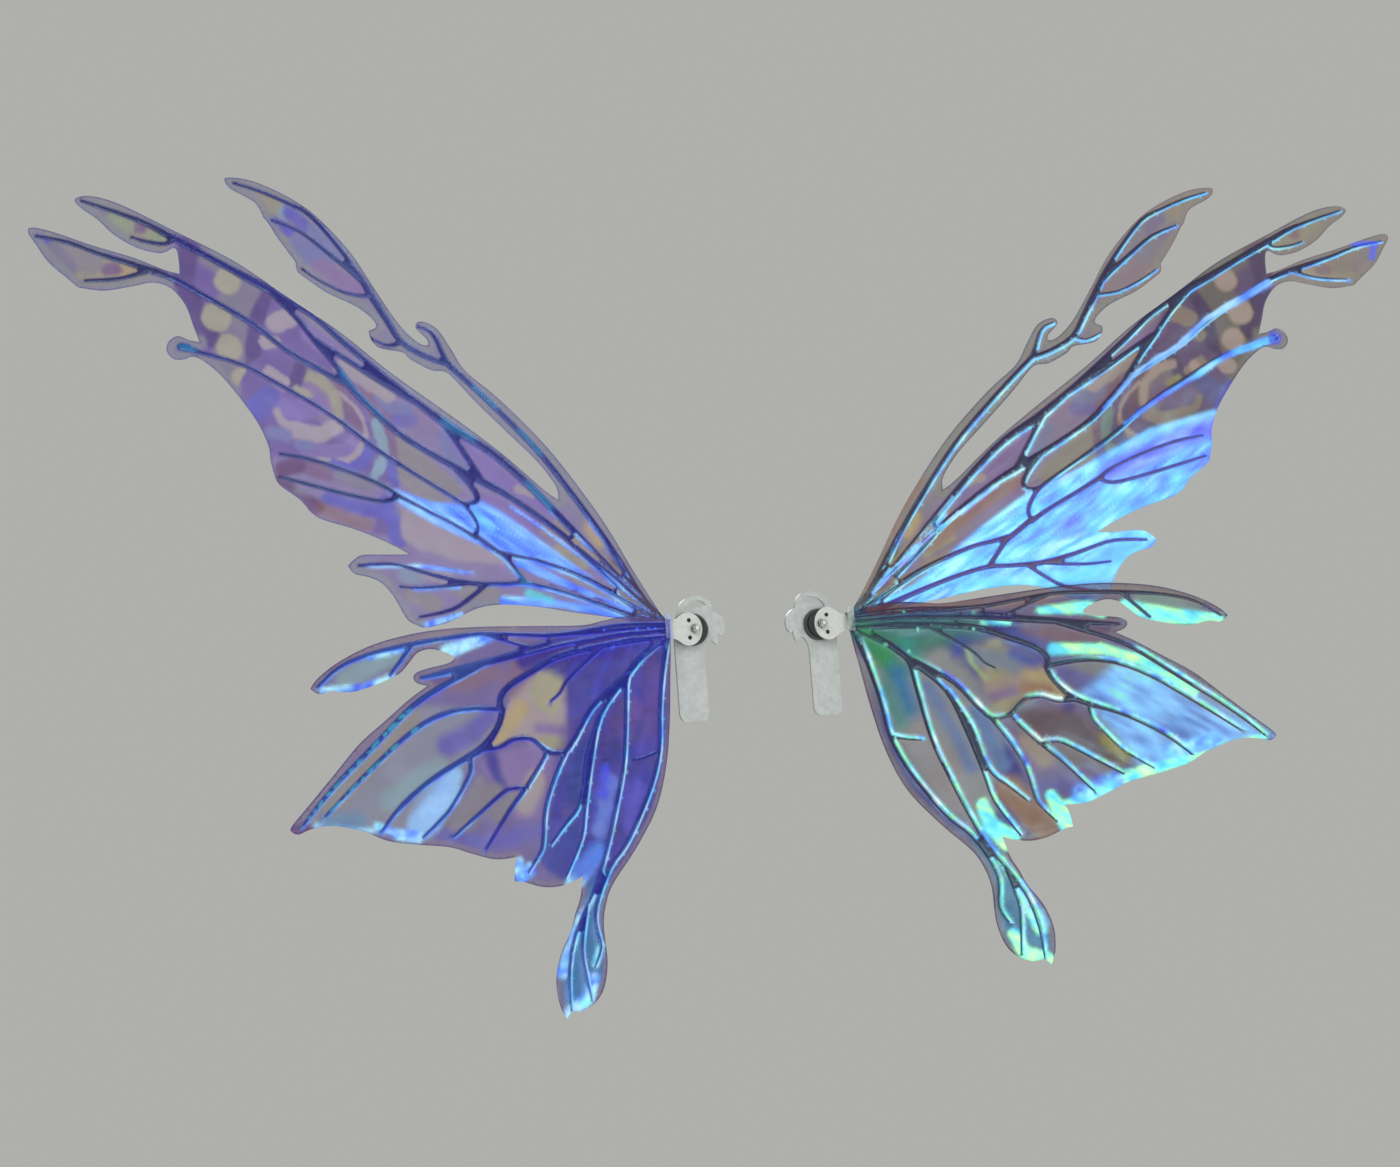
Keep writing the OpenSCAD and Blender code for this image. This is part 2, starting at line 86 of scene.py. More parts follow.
lens = bpy.data.cameras.new("view_camera")
lens.lens = 79.1                    # mm, on a frame 36 mm wide
lens.sensor_width = 36.0
lens.clip_end = 60
camera = linked("view_camera", lens)
forward = Vector((math.sin(VIEW_YAW) * math.cos(VIEW_PITCH),
                  math.cos(VIEW_YAW) * math.cos(VIEW_PITCH), math.sin(VIEW_PITCH)))
level = forward.cross(Vector((0, 0, 1))).normalized()
up = level.cross(forward) * math.cos(VIEW_ROLL) + level * math.sin(VIEW_ROLL)
aim(camera, VIEW_FROM, forward, up)
bpy.context.scene.camera = camera

# ---------------------------------------------------------------- small maths


def smooth_step(x):
    t = np.clip(x, 0, 1)
    return t * t * (3 - 2 * t)


def linear(rgb):
    c = np.asarray(rgb, float) / 255
    return np.where(c <= 0.04045, c / 12.92, ((c + 0.055) / 1.055) ** 2.4)


NOISE_GRID = 64


def lattice_noise(p, cell, seed, stretch=(1, 1), turn=0.0):
    """Smooth noise from -1 to 1 over points p in mm, about cell mm from lump to lump."""
    n = NOISE_GRID
    grid = np.random.RandomState(seed).uniform(-1, 1, (n, n))
    a = math.radians(turn)
    x = (p[:, 0] * math.cos(a) + p[:, 1] * math.sin(a)) / (cell * stretch[0])
    y = (p[:, 1] * math.cos(a) - p[:, 0] * math.sin(a)) / (cell * stretch[1])
    i, j = np.floor(x).astype(int), np.floor(y).astype(int)
    fx, fy = smooth_step(x - i), smooth_step(y - j)
    low, high = (grid[i % n, (j + up) % n] * (1 - fx) + grid[(i + 1) % n, (j + up) % n] * fx
                 for up in (0, 1))
    return low * (1 - fy) + high * fy


def soft_edge(d, soft):
    """Mask that grows from 0 to 1 over a border soft mm wide, where d passes 0."""
    return smooth_step((d + soft / 2) / soft)


def run_along(line):
    """Length of a line up to each of its points."""
    return np.concatenate([[0], np.cumsum(np.hypot(*np.diff(line, axis=0).T))])


def stretches(p, line, closed=False):
    """For each stretch of a line: how far along it (0 to 1) and how far from it each p lies."""
    line = np.asarray(line, float)
    for a, b in zip(line, np.roll(line, -1, 0) if closed else line[1:]):
        ab = b - a
        t = np.clip(((p - a) @ ab) / max(ab @ ab, 1e-9), 0, 1)
        yield t, np.hypot(*(p - a - t[:, None] * ab).T)


def to_polyline(p, line, closed=False):
    """Distance from every point p to a polyline, or to a single point."""
    if len(line) == 1:
        return np.hypot(*(p - line[0]).T)
    return np.min([gap for _, gap in stretches(p, line, closed)], 0)


def inside(p, loop):
    """Even-odd test of points p against a closed loop."""
    loop = np.asarray(loop, float)
    hit = np.zeros(len(p), bool)
    for a, b in zip(loop, np.roll(loop, -1, 0)):
        if a[1] != b[1]:
            span = (p[:, 1] < a[1]) != (p[:, 1] < b[1])
            x = a[0] + (p[:, 1] - a[1]) * (b[0] - a[0]) / (b[1] - a[1])
            hit ^= span & (p[:, 0] < x)
    return hit


def depth_inside(p, loop):
    """Distance from points p to a closed loop, negative outside it."""
    return to_polyline(p, loop, True) * np.where(inside(p, loop), 1, -1)


# ---------------------------------------------------------------- panels read from the CAD


def facing(node):
    """Unit normal of a panel's flat face towards the viewer."""
    flat = [face for face in node.data.polygons if face.normal.y < -0.7]
    return sum((face.normal * face.area for face in flat), Vector()).normalized()


def front_loops(node, normal):
    """Closed outlines of a flat sheet, followed along the front edge of its walls."""
    verts = node.data.vertices
    top = max(v.co.dot(normal) for v in verts) - 1e-5
    front = [v.co.dot(normal) > top for v in verts]
    edges = []
    for face in node.data.polygons:
        ids = list(face.vertices)
        if sum(front[i] for i in ids) == 2:
            edges += [(verts[b].co, verts[a].co) for a, b in zip(ids, ids[1:] + ids[:1])
                      if front[a] and front[b] and (verts[a].co - verts[b].co).length > 1e-6]
    tree = KDTree(len(edges))
    for i, edge in enumerate(edges):
        tree.insert(edge[0], i)
    tree.balance()
    used, loops = [False] * len(edges), []
    for i in range(len(edges)):
        k, loop = i, []
        while not used[k]:
            used[k] = True
            loop.append(edges[k][0])
            near = [(d, q) for _, q, d in tree.find_n(edges[k][1], 4) if not used[q] or q == i]
            if near:
                k = min(near)[1]
        if len(loop) > 2:
            loops.append(loop)
    return loops


class Place:
    """Where a panel of one side lies: mm outward (u), up (v) and towards the viewer (w)."""

    def __init__(self, side, part):
        joint = next(j for j in frame["joints"] if j["name"] == side + "_swivel")
        self.bolt = Vector(joint["pos_m"])
        self.normal = facing(frame["nodes"][side + "_" + part + "_film_front"])
        sign = 1 if side == "right" else -1
        self.out = Vector((-self.normal.y, self.normal.x, 0)) * sign
        self.lift = 0.0
        depths = [(v.co - self.bolt).dot(self.normal) / MM
                  for v in frame["nodes"][side + "_" + part + "_veins"].data.vertices]
        self.middle = (min(depths) + max(depths)) / 2

    def flat(self, points):
        return np.array([((p - self.bolt).dot(self.out) / MM, (p - self.bolt).z / MM)
                         for p in points])

    def solid(self, uv, w):
        a = math.radians(self.lift)
        u, v = uv[:, 0] - LIFT_U, uv[:, 1]
        u, v = u * math.cos(a) - v * math.sin(a) + LIFT_U, u * math.sin(a) + v * math.cos(a)
        out, normal, bolt = np.array(self.out), np.array(self.normal), np.array(self.bolt)
        up = np.array((0, 0, 1.0))
        return bolt + MM * (u[:, None] * out + v[:, None] * up
                            + (self.middle + w)[:, None] * normal)


SHARP_TURN = math.radians(38)      # an outline's corner turns by more than this


def refined(loop, step):
    """A closed loop, anticlockwise, with curve points added up to step apart, corners kept."""
    loop = np.asarray(loop)
    n = len(loop)
    if np.cross(loop, np.roll(loop, -1, 0)).sum() < 0:
        loop = loop[::-1]
    before, after = loop - np.roll(loop, 1, 0), np.roll(loop, -1, 0) - loop
    corner = np.abs(np.angle((after @ [1, 1j]) / (before @ [1, 1j]))) > SHARP_TURN
    points = []
    for i in range(n):
        a, b = loop[i], loop[(i + 1) % n]
        length = np.hypot(*(b - a))
        leaving = b - a if corner[i] else (b - loop[i - 1]) / 2
        arriving = b - a if corner[(i + 1) % n] else (loop[(i + 2) % n] - a) / 2
        ta, tb = (way * length / max(np.hypot(*way), 1e-6) for way in (leaving, arriving))
        count = max(1, math.ceil(length / step))
        for t in (k / count for k in range(count)):
            points.append(a * (2 * t**3 - 3 * t**2 + 1) + ta * (t**3 - 2 * t**2 + t)
                          + b * (3 * t**2 - 2 * t**3) + tb * (t**3 - t**2))
    return np.array(points)


class Distance:
    """Distance to closed loops, from points sampled densely along them."""

    def __init__(self, loops, step=0.5):
        self.points = np.concatenate([refined(loop, step) for loop in loops])
        self.tree = KDTree(len(self.points))
        for i, p in enumerate(self.points):
            self.tree.insert((p[0], p[1], 0), i)
        self.tree.balance()

    def nearest(self, p):
        found = [self.tree.find((x, y, 0)) for x, y in p]
        return np.array([f[2] for f in found]), self.points[[f[1] for f in found]]


def offset_points(loop, gap, spacing):
    """Points gap mm to each side of a loop, about spacing mm apart."""
    side = (np.roll(loop, -1, 0) - np.roll(loop, 1, 0)) @ np.array([[0, 1], [-1, 0]])
    side /= np.maximum(np.hypot(*side.T), 1e-9)[:, None]
    keep = np.concatenate([[True], np.diff(np.floor(run_along(loop) / spacing)) > 0])
    return np.concatenate([loop[keep] + side[keep] * gap, loop[keep] - side[keep] * gap])


def walked_line(line, step):
    """Points step mm apart along an open line."""
    line = np.asarray(line, float)
    run = run_along(line)
    at = np.arange(0, run[-1], step)
    return np.stack([np.interp(at, run, line[:, 0]), np.interp(at, run, line[:, 1])], 1)


def hex_grid(low, high, step):
    row_gap = step * 0.866
    u, v = np.meshgrid(np.arange(low[0], high[0], step), np.arange(low[1], high[1], row_gap))
    u[1::2] += step / 2
    return np.stack([u.ravel(), v.ravel()], 1)


# At the root the vein sheet is one piece, and its ridges run on: a zone, lines and half widths.
ROOT = {
    "upper": ([(20, -5), (20, 20), (60, 62), (112, 100), (122, 92), (112, 20), (112, -5)],
              [([(26, 8), (50, 40), (66, 66)], 1.7), ([(30, 11), (62, 47), (88, 70)], 1.6),
               ([(34, 13), (66, 41), (98, 66)], 1.6), ([(33, 9), (68, 29)], 1.3),
               ([(34, 7), (60, 16)], 1.3)]),
    "lower": ([(15, 12), (170, 12), (170, -10), (140, -22), (100, -22), (60, -14), (38, -24),
               (20, -12)],
              [([(24, 3), (60, 1.6), (100, -1.5), (140, -3)], 1.3),
               ([(24, 0), (70, -3), (110, -9), (150, -17)], 1.4),
               ([(26, -5), (60, -7), (98, -13), (132, -20)], 1.4),
               ([(26, -6), (40, -18)], 1.4)]),
}


# Mesh points, in mm. A row is its gap from the line, its spacing and its least gap from a vein.
EDGE_STEP, VEIN_STEP, GRID_STEP = 2.0, 1.9, 2.1
VEIN_ROWS = ((0.8, 1.7, 0.7), (1.8, 2.0, 1.6), (3.6, 3.2, 3.3))
EDGE_ROWS = ((0.5, 1.9, 0.45), (1.5, 2.2, 1.4))
RIDGE_ROWS = ((0.0, 1.8, 0.7), (1.0, 1.8, 0.7), (2.1, 1.8, 0.7))
GRID_GAP = 4.4          # least gap of a grid point from a vein
EDGE_GAP = 1.3          # a row that keeps more than this from a vein still keeps this from the edge
ROOT_HALF = 1.2         # half the width of a vein that outlines the root
VEIN_BRIM = 0.6         # the vein sheet takes in triangles whose middle is this near a vein
UNCLEAR = 0.5           # a point this near a vein's edge doesn't say which way the vein slopes


class Panel:
    """Flat mesh of one panel: its outline, its veins, and points between them."""

    def __init__(self, part):
        place = Place("left", part)
        outline, veins = (front_loops(frame["nodes"]["left_" + part + end], place.normal)
                          for end in ("_film_front", "_veins"))
        self.edge = refined(place.flat(outline[0]), EDGE_STEP)
        self.veins = [refined(place.flat(loop), VEIN_STEP) for loop in veins]
        self.to_edge, self.to_vein = Distance([self.edge]), Distance(self.veins)
        zone, ridges = ROOT[part]
        self.triangulate(self.between(ridges))
        self.measure(zone, ridges)

    def between(self, ridges):
        """Points between the outlines: rows beside them, and a grid in the open."""
        lines = [(loop, VEIN_ROWS) for loop in self.veins] + [(self.edge, EDGE_ROWS)]
        lines += [(walked_line(line, 1.0), RIDGE_ROWS) for line, _ in ridges]
        rows = [(offset_points(line, gap, spacing), least)
                for line, kinds in lines for gap, spacing, least in kinds]
        rows.append((hex_grid(self.edge.min(0), self.edge.max(0), GRID_STEP), GRID_GAP))
        points = np.concatenate([row for row, _ in rows])
        least = np.concatenate([np.full(len(row), gap) for row, gap in rows])
        within_edge = inside(points, self.edge)
        points, least = points[within_edge], least[within_edge]
        edge_gap, vein_gap = self.to_edge.nearest(points)[0], self.to_vein.nearest(points)[0]
        ok = (vein_gap >= least) & (edge_gap >= np.minimum(least, EDGE_GAP))
        return points[ok]

    def triangulate(self, extra):
        """Triangles between the outlines, and which of them lie in a vein."""
        loops = [self.edge] + self.veins
        faces, start = [], 0
        for loop in loops:
            faces.append(list(range(start, start + len(loop))))
            start += len(loop)
        edges = [(a, b) for face in faces for a, b in zip(face, face[1:] + face[:1])]
        flat = [Vector(p) for p in np.concatenate(loops + [extra])]
        points, _, tris, _, _, origins = delaunay_2d_cdt(flat, edges, faces, 0, 1e-5)
        kept = [(tri, sum(k > 0 for k in origin) % 2 == 1)
                for tri, origin in zip(tris, origins) if 0 in origin]
        used, number = np.unique([tri for tri, _ in kept], return_inverse=True)
        self.points = np.array([tuple(v) for v in points])[used]
        self.tris = number.reshape(-1, 3)
        self.in_vein = np.array([is_vein for _, is_vein in kept])

    def measure(self, zone, ridges):
        """Each point's distance from the edge, its depth in a vein, and the way the vein slopes."""
        self.edge_gap = self.to_edge.nearest(self.points)[0]
        gap, at = self.to_vein.nearest(self.points)
        veined_points = np.isin(np.arange(len(self.points)), self.tris[self.in_vein])
        depth = np.where(veined_points, gap, -gap)
        ridge = np.max([half - to_polyline(self.points, line) for line, half in ridges], 0)
        hollow = np.maximum(np.where(depth > ROOT_HALF, 2 * ROOT_HALF - depth, depth), ridge)
        rooted = inside(self.points, zone) & (depth > 0)
        self.vein_gap = np.where(rooted, hollow, depth)
        self.in_vein &= self.vein_gap[self.tris].mean(1) > -VEIN_BRIM
        away = (self.points - at) * np.sign(self.vein_gap)[:, None]
        self.slope = -away / np.maximum(gap, 1e-6)[:, None]
        self.turn_vein_edges(gap < UNCLEAR, self.vein_gap < -UNCLEAR)

    def turn_vein_edges(self, unclear, film):
        """A point on a vein's edge takes its outward direction from the film beside it."""
        ends = np.concatenate([self.tris[:, pair] for pair in
                               ([0, 1], [1, 0], [1, 2], [2, 1], [2, 0], [0, 2])])
        ends = ends[unclear[ends[:, 0]] & film[ends[:, 1]]]
        total = np.zeros_like(self.slope)
        np.add.at(total, ends[:, 0], self.slope[ends[:, 1]])
        self.slope[unclear] = (total / np.maximum(np.hypot(*total.T), 1e-6)[:, None])[unclear]

    def boundary(self, tris):
        """Points on the edge of a set of triangles."""
        pairs = np.concatenate([tris[:, [0, 1]], tris[:, [1, 2]], tris[:, [2, 0]]])
        _, back, count = np.unique(np.sort(pairs, 1), axis=0, return_inverse=True,
                                   return_counts=True)
        lone = np.zeros(len(self.points), bool)
        lone[pairs[count[back.ravel()] == 1].ravel()] = True
        return lone


GAIN = 0.87           # lifts painted colours to the brightness of the light on them
SHEEN = 0.006         # what the gloss adds on top
FILM_HALF = 0.38      # half the thickness of the sealed films, in mm
FILLET = 0.34         # how far the films stand off beside a vein
FILLET_RUN = 1.5      # how soon they close again
CREST = 1.3           # half the thickness over the middle of a wide vein
VEIN_ROUND = 2.0      # distance from a vein's edge at which it is at full height
EDGE_ROUND = 0.9      # width of the panel's rounded edge


def half_thickness(panel):
    d = panel.vein_gap
    rise = np.sin(0.5 * np.pi * np.clip(d / VEIN_ROUND, 0, 1))
    h = np.where(d >= 0, FILM_HALF + FILLET + (CREST - FILM_HALF - FILLET) * rise,
                 FILM_HALF + FILLET * np.exp(np.minimum(d, 0) / FILLET_RUN))
    return h * np.sqrt(1 - (1 - np.clip(panel.edge_gap / EDGE_ROUND, 0, 1)) ** 2)


BROAD_WAVE, MIDDLE_WAVE, FINE_WAVE = 1.1, 0.8, 0.22       # heights of the films' waves, in mm
WAVE_WAY = 35                                             # how the finer ones lie, in degrees


def waviness(panel, seed):
    """Gentle waves of the films between the veins, in mm."""
    p = panel.points
    free = smooth_step(np.minimum(-panel.vein_gap, panel.edge_gap + 3) / 9)
    free = np.where(panel.vein_gap > 0, 0, free)
    broad = BROAD_WAVE * lattice_noise(p, 120, seed)
    middle = MIDDLE_WAVE * lattice_noise(p, 34, seed + 1, (1.5, 0.8), WAVE_WAY)
    fine = FINE_WAVE * lattice_noise(p, 11, seed + 2, (1.7, 0.8), WAVE_WAY)
    return broad + free * (middle + fine)


def mesh_piece(name, verts, faces, material, smooth=True, rim=None):
    data = bpy.data.meshes.new(name)
    data.from_pydata([tuple(v) for v in verts], [], [tuple(int(i) for i in f) for f in faces])
    data.update()
    if smooth:
        data.polygons.foreach_set("use_smooth", [True] * len(data.polygons))
    if rim is not None:
        ends = np.zeros(2 * len(data.edges), int)
        data.edges.foreach_get("vertices", ends)
        data.edges.foreach_set("use_edge_sharp", rim[ends].reshape(-1, 2).all(1))
    data.materials.append(material)
    return linked(name, data)


def two_sided(panel, place, tris, half, wave, flip):
    """Closed lens-shaped solid over tris: its front and back faces share their edge points."""
    rim = panel.boundary(tris)
    used = np.zeros(len(panel.points), bool)
    used[tris.ravel()] = True
    ids = np.flatnonzero(used)
    front_id = np.full(len(panel.points), -1)
    front_id[ids] = np.arange(len(ids))
    inner = ids[~rim[ids]]
    back_id = front_id.copy()
    back_id[inner] = len(ids) + np.arange(len(inner))
    flat_half = np.where(rim, 0, half)
    front = place.solid(panel.points[ids], (wave + flat_half)[ids])
    back = place.solid(panel.points[inner], (wave - flat_half)[inner])
    a, b = front_id[tris], back_id[tris]
    a, b = (a[:, ::-1], b) if flip else (a, b[:, ::-1])
    return (np.concatenate([front, back]), np.concatenate([a, b]),
            np.concatenate([ids, inner]), np.concatenate([rim[ids], rim[inner]]))


# ---------------------------------------------------------------- painted film


AREA_WOBBLE = 1.5     # how unevenly a printed area ends, in mm


class Paint:
    """Colours over a panel, in mm. A colour is what shows in front of a plain wall."""

    def __init__(self, panel, base, opacity, seed, softness=1.0):
        self.p, self.panel, self.softness = panel.points, panel, softness
        n = len(self.p)
        self.colour = np.tile(linear(base), (n, 1))
        self.opacity = np.full(n, float(opacity))
        self.wobble = lattice_noise(self.p, 9, seed) + 0.5 * lattice_noise(self.p, 4, seed + 1)
        self.seed = seed
        self.veiny = smooth_step((panel.vein_gap + 0.4) / 0.9)

    def blend(self, mask, colour, opacity=None):
        """Mixes in linear colours; a mask of 1 covers what was there."""
        m = np.clip(mask, 0, 1)
        self.colour = self.colour * (1 - m[:, None]) + colour * m[:, None]
        if opacity is not None:
            self.opacity = self.opacity * (1 - m) + opacity * m

    def mix(self, mask, rgb, opacity=None):
        self.blend(mask, linear(rgb), opacity)

    def on_veins(self, mask, rgb):
        self.mix(mask * self.veiny, rgb)

    def restore_veins(self, colour, opacity):
        """Puts the veins back as they were before light was laid over the films."""
        self.blend(smooth_step((self.panel.vein_gap + 0.6) / 0.7), colour, opacity)

    def tint(self, rgb, where=1.0):
        """Multiplies the colours by rgb, as far as the mask goes."""
        self.colour = self.colour * (1 - np.multiply.outer(where, 1 - np.array(rgb)))

    def stroke(self, line, radius, rgb, soft=4, opacity=None, strength=1.0, wobble=1.0):
        d = radius - to_polyline(self.p, line) - self.wobble * wobble
        self.mix(strength * soft_edge(d, soft * self.softness), rgb, opacity)

    def area(self, loop, rgb, soft=6, opacity=None):
        d = depth_inside(self.p, loop) + self.wobble * AREA_WOBBLE
        self.mix(soft_edge(d, soft * self.softness), rgb, opacity)


# The print's colours, in steps of five, as they look in front of a pale wall.
CREAM, CITRON, SAND = (160, 155, 150), (150, 155, 145), (155, 150, 145)
PEARL, ROSE, LILAC = (160, 150, 165), (140, 125, 160), (135, 120, 170)
MAUVE, PLUM, SMOKE = (130, 110, 140), (100, 85, 130), (135, 130, 150)
FROST, HAZE, PERI = (140, 155, 175), (130, 130, 170), (110, 105, 175)
SKY, TEAL = (145, 180, 230), (80, 115, 170)
INDIGO, NIGHT = (80, 75, 150), (65, 50, 130)
GOLD, RUST = (170, 155, 140), (140, 110, 90)
IRIS, STONE, MIST = (120, 105, 155), (145, 140, 150), (140, 140, 165)
DAMSON, SLATE = (110, 85, 120), (105, 95, 110)


# outlines on the upper panels, in mm outward and up from the bolt
UPPER_CLEAR = [(20, 0), (70, 84), (112, 138), (180, 198), (188, 218), (205, 235), (245, 262),
               (262, 288), (330, 340), (362, 345), (345, 318), (312, 272), (258, 232), (210, 198),
               (128, 128), (108, 100), (40, 20)]
UPPER_PRINTED = [(378, 304), (412, 292), (398, 225), (384, 223), (352, 160), (354, 80), (196, 40),
                 (186, 60), (322, 108), (332, 180), (372, 238)]
FIELD_END = [(318, 262), (356, 280), (402, 304), (404, 268), (388, 215), (352, 160), (338, 135)]
EYE_CRESCENT = [(282, 182), (271, 173), (264, 162), (262, 153)]
EYE_BROW = [(312, 196), (298, 193), (288, 184), (284, 174), (283, 165)]


def lavender_print(paint):
    """The pattern that is printed on both upper panels."""
    s = paint.stroke
    # violet field at the wing's end, and the grey band with four discs in it
    paint.area(FIELD_END + [(300, 128), (255, 118), (243, 72), (262, 78), (240, 130), (268, 186),
                            (300, 225)], IRIS, 10, 0.64)
    s([(350, 256), (360, 274), (380, 288)], 12, SMOKE, 10, 0.56)
    s([(350, 262), (362, 238), (364, 214), (358, 196), (352, 184)], 15, SMOKE, 8, 0.56)
    s([(390, 292), (398, 262), (388, 238), (380, 222)], 8, PLUM, 7)
    s([(332, 258), (343, 236), (347, 214), (349, 196)], 5.5, PLUM, 6)
    for u, v, r in ((364, 264, 10), (374, 237, 11), (366, 214, 10), (358, 193, 7)):
        s([(u, v)], r, CREAM, 5, 0.6)
    # pale patches left of the band
    s([(318, 238), (328, 234)], 8, PEARL, 4, 0.6)
    s([(330, 218), (337, 219)], 5, PEARL, 3, 0.6)
    s([(304, 226), (285, 212)], 6, LILAC, 7)
    # the eye: outer ring, brown ring, lilac ring, then the pale crescents
    s([(318, 174)], 42, IRIS, 5, wobble=1.6)
    s([(283, 188), (274, 171), (270, 160), (268, 150)], 6, MAUVE, 3)
    s([(272, 146), (280, 139), (296, 137), (312, 141)], 6, LILAC, 4)
    s(EYE_CRESCENT, 1.5, PEARL, 2, wobble=0.6)
    s([(263, 150), (268, 139), (276, 133), (288, 130), (300, 131)], 2.8, PEARL, 3, wobble=0.8)
    s([(302, 184), (294, 176), (294, 168)], 10, ROSE, 6)
    s(EYE_BROW, 4.5, SAND, 5)
    s([(302, 172), (318, 168), (330, 172)], 8, LILAC, 7)
    s([(286, 157), (296, 152), (306, 151), (320, 154)], 6.5, PEARL, 4)
    s([(320, 154), (329, 161), (332, 168)], 3.5, PEARL, 4)
    s([(316, 190), (312, 200)], 5, PLUM, 5)
    s([(307, 181), (315, 184)], 3.0, CREAM, 2, wobble=0.5)
    s([(326, 190), (337, 197)], 5, PEARL, 2, wobble=0.8)
    s([(327, 184), (333, 188)], 2.4, ROSE, 2, wobble=0.5)
    s([(338, 178), (348, 168)], 9, PERI, 10)
    s([(326, 150), (338, 152)], 5, HAZE, 8)
    s([(308, 142), (316, 143)], 4, HAZE, 5)
    # rings outside the eye: mauve, frosted cyan and periwinkle
    s([(262, 190), (256, 172), (254, 158)], 5, MAUVE, 5)
    s([(246, 166), (241, 150), (242, 136)], 5, MAUVE, 4)
    s([(254, 160), (250, 146), (251, 132), (258, 119)], 4.5, FROST, 4, wobble=1.6)
    s([(260, 142), (267, 130), (278, 124), (290, 127)], 5, PERI, 3, wobble=1.6)
    s([(243, 130), (243, 114)], 4, PERI, 4)
    paint.area([(186, 110), (238, 156), (240, 118), (228, 104), (205, 96)], STONE, 5, 0.54)
    # inner cells
    s([(207, 160), (224, 172), (240, 178)], 10, ROSE, 7)
    s([(230, 170), (238, 170), (248, 180)], 6, HAZE, 5)
    s([(226, 162), (238, 162)], 5, PERI, 6, strength=0.6)
    s([(243, 181), (280, 203)], 5.5, PEARL, 4)
    s([(184, 122), (192, 136), (198, 150)], 8, HAZE, 8)
    s([(120, 98), (150, 112), (186, 146)], 8, LILAC, 12)
    s([(130, 106), (142, 110)], 3, PEARL, 5)
    # lobe under the eye
    s([(262, 112), (276, 117), (288, 120)], 4.5, SMOKE, 6)
    s([(294, 121), (312, 127)], 5, MAUVE, 7)
    s([(318, 128), (330, 126)], 6, DAMSON, 6, 0.66)
    s([(330, 116), (322, 104), (306, 97)], 6, DAMSON, 7, 0.66)
    s([(300, 95), (268, 84)], 6, RUST, 9, strength=0.45)
    s([(252, 92), (278, 98), (296, 104)], 5, PERI, 8)
    s([(250, 100), (242, 72)], 6, PERI, 6)
    paint.area([(150, 52), (188, 76), (238, 98), (240, 74), (226, 64), (196, 56)], PEARL, 7, 0.50)
    # leaf at the top
    paint.area([(252, 258), (300, 335), (364, 346), (312, 272)], STONE, 6, 0.44)
    s([(318, 319), (331, 326)], 8, SAND, 5, 0.5)
    s([(317, 316)], 6, FROST, 7, 0.5, 0.8)
    s([(302, 309), (311, 317)], 6.5, PERI, 6, 0.6)
    s([(314, 304), (326, 309)], 5.5, PERI, 5, 0.64)
    s([(276, 290), (292, 306)], 7, HAZE, 9, 0.56)
    s([(288, 282), (306, 293)], 9, HAZE, 9, 0.5)
    s([(260, 261), (276, 268), (290, 277)], 7, ROSE, 8, 0.6)
    # the two fingers
    for finger in ([(404, 292), (440, 316), (468, 326), (480, 318), (440, 292), (412, 284)],
                   [(412, 262), (446, 280), (500, 300), (512, 296), (478, 258), (440, 256)]):
        paint.area(finger, SAND, 5, 0.40)
    s([(410, 295), (419, 295)], 5, CITRON, 4, 0.5)
    s([(427, 301), (432, 302)], 5, MAUVE, 5, 0.54)
    s([(439, 303), (448, 307)], 8, CITRON, 5, 0.5)
    s([(456, 313), (470, 318)], 6, SMOKE, 9, 0.5)
    s([(432, 270), (444, 270)], 6, GOLD, 6, 0.5)
    s([(448, 270), (455, 269)], 4.5, MAUVE, 4, 0.54)
    s([(466, 275), (482, 281)], 10, STONE, 8, 0.5)
    s([(482, 270), (492, 282)], 7, SMOKE, 8, 0.5)
    s([(444, 280), (452, 283)], 3.5, PERI, 5, 0.6)
    s([(498, 289), (504, 293)], 4, PERI, 6, 0.6)
    # bottom leaf and the root
    s([(228, 44), (238, 45)], 6, FROST, 8, strength=0.7)
    s([(206, 44), (222, 46)], 5, PEARL, 8)
    s([(170, 32), (196, 34)], 7, STONE, 9)
    s([(216, 24), (236, 30)], 6, STONE, 8)
    s([(76, 70), (84, 80)], 6, GOLD, 12)
    s([(92, 52), (112, 64)], 4, SAND, 10)
    s([(112, 76), (150, 92), (172, 100)], 7, LILAC, 8)
    s([(24, 8), (60, 46)], 12, SLATE, 16, 0.8)


VEIN_SHADE, VEIN_BLUR = 1.8, 0.9      # width of the dark beside a vein, and of its own edge


def veined(paint, rgb, inset=0.0):
    """Veins, with the dark soft edge that the films draw round them."""
    d = paint.panel.vein_gap - inset
    paint.mix(0.28 * smooth_step((d + VEIN_SHADE) / VEIN_SHADE), rgb)
    paint.mix(soft_edge(d, VEIN_BLUR), rgb, 0.93)


def margins(paint, rgb, line, width, opacity, printed=()):
    """Clear margin outside the printed field, and its darker cut edge."""
    gap = paint.panel.edge_gap + 0.6 * paint.wobble
    clear = smooth_step((width - gap) / 3) * (paint.panel.vein_gap < 0)
    if printed:
        clear *= 1 - within(paint, printed, 6)
    paint.mix(0.8 * clear, rgb, opacity)
    paint.mix(0.8 * smooth_step((1.3 - paint.panel.edge_gap) / 0.8), line, 0.7)


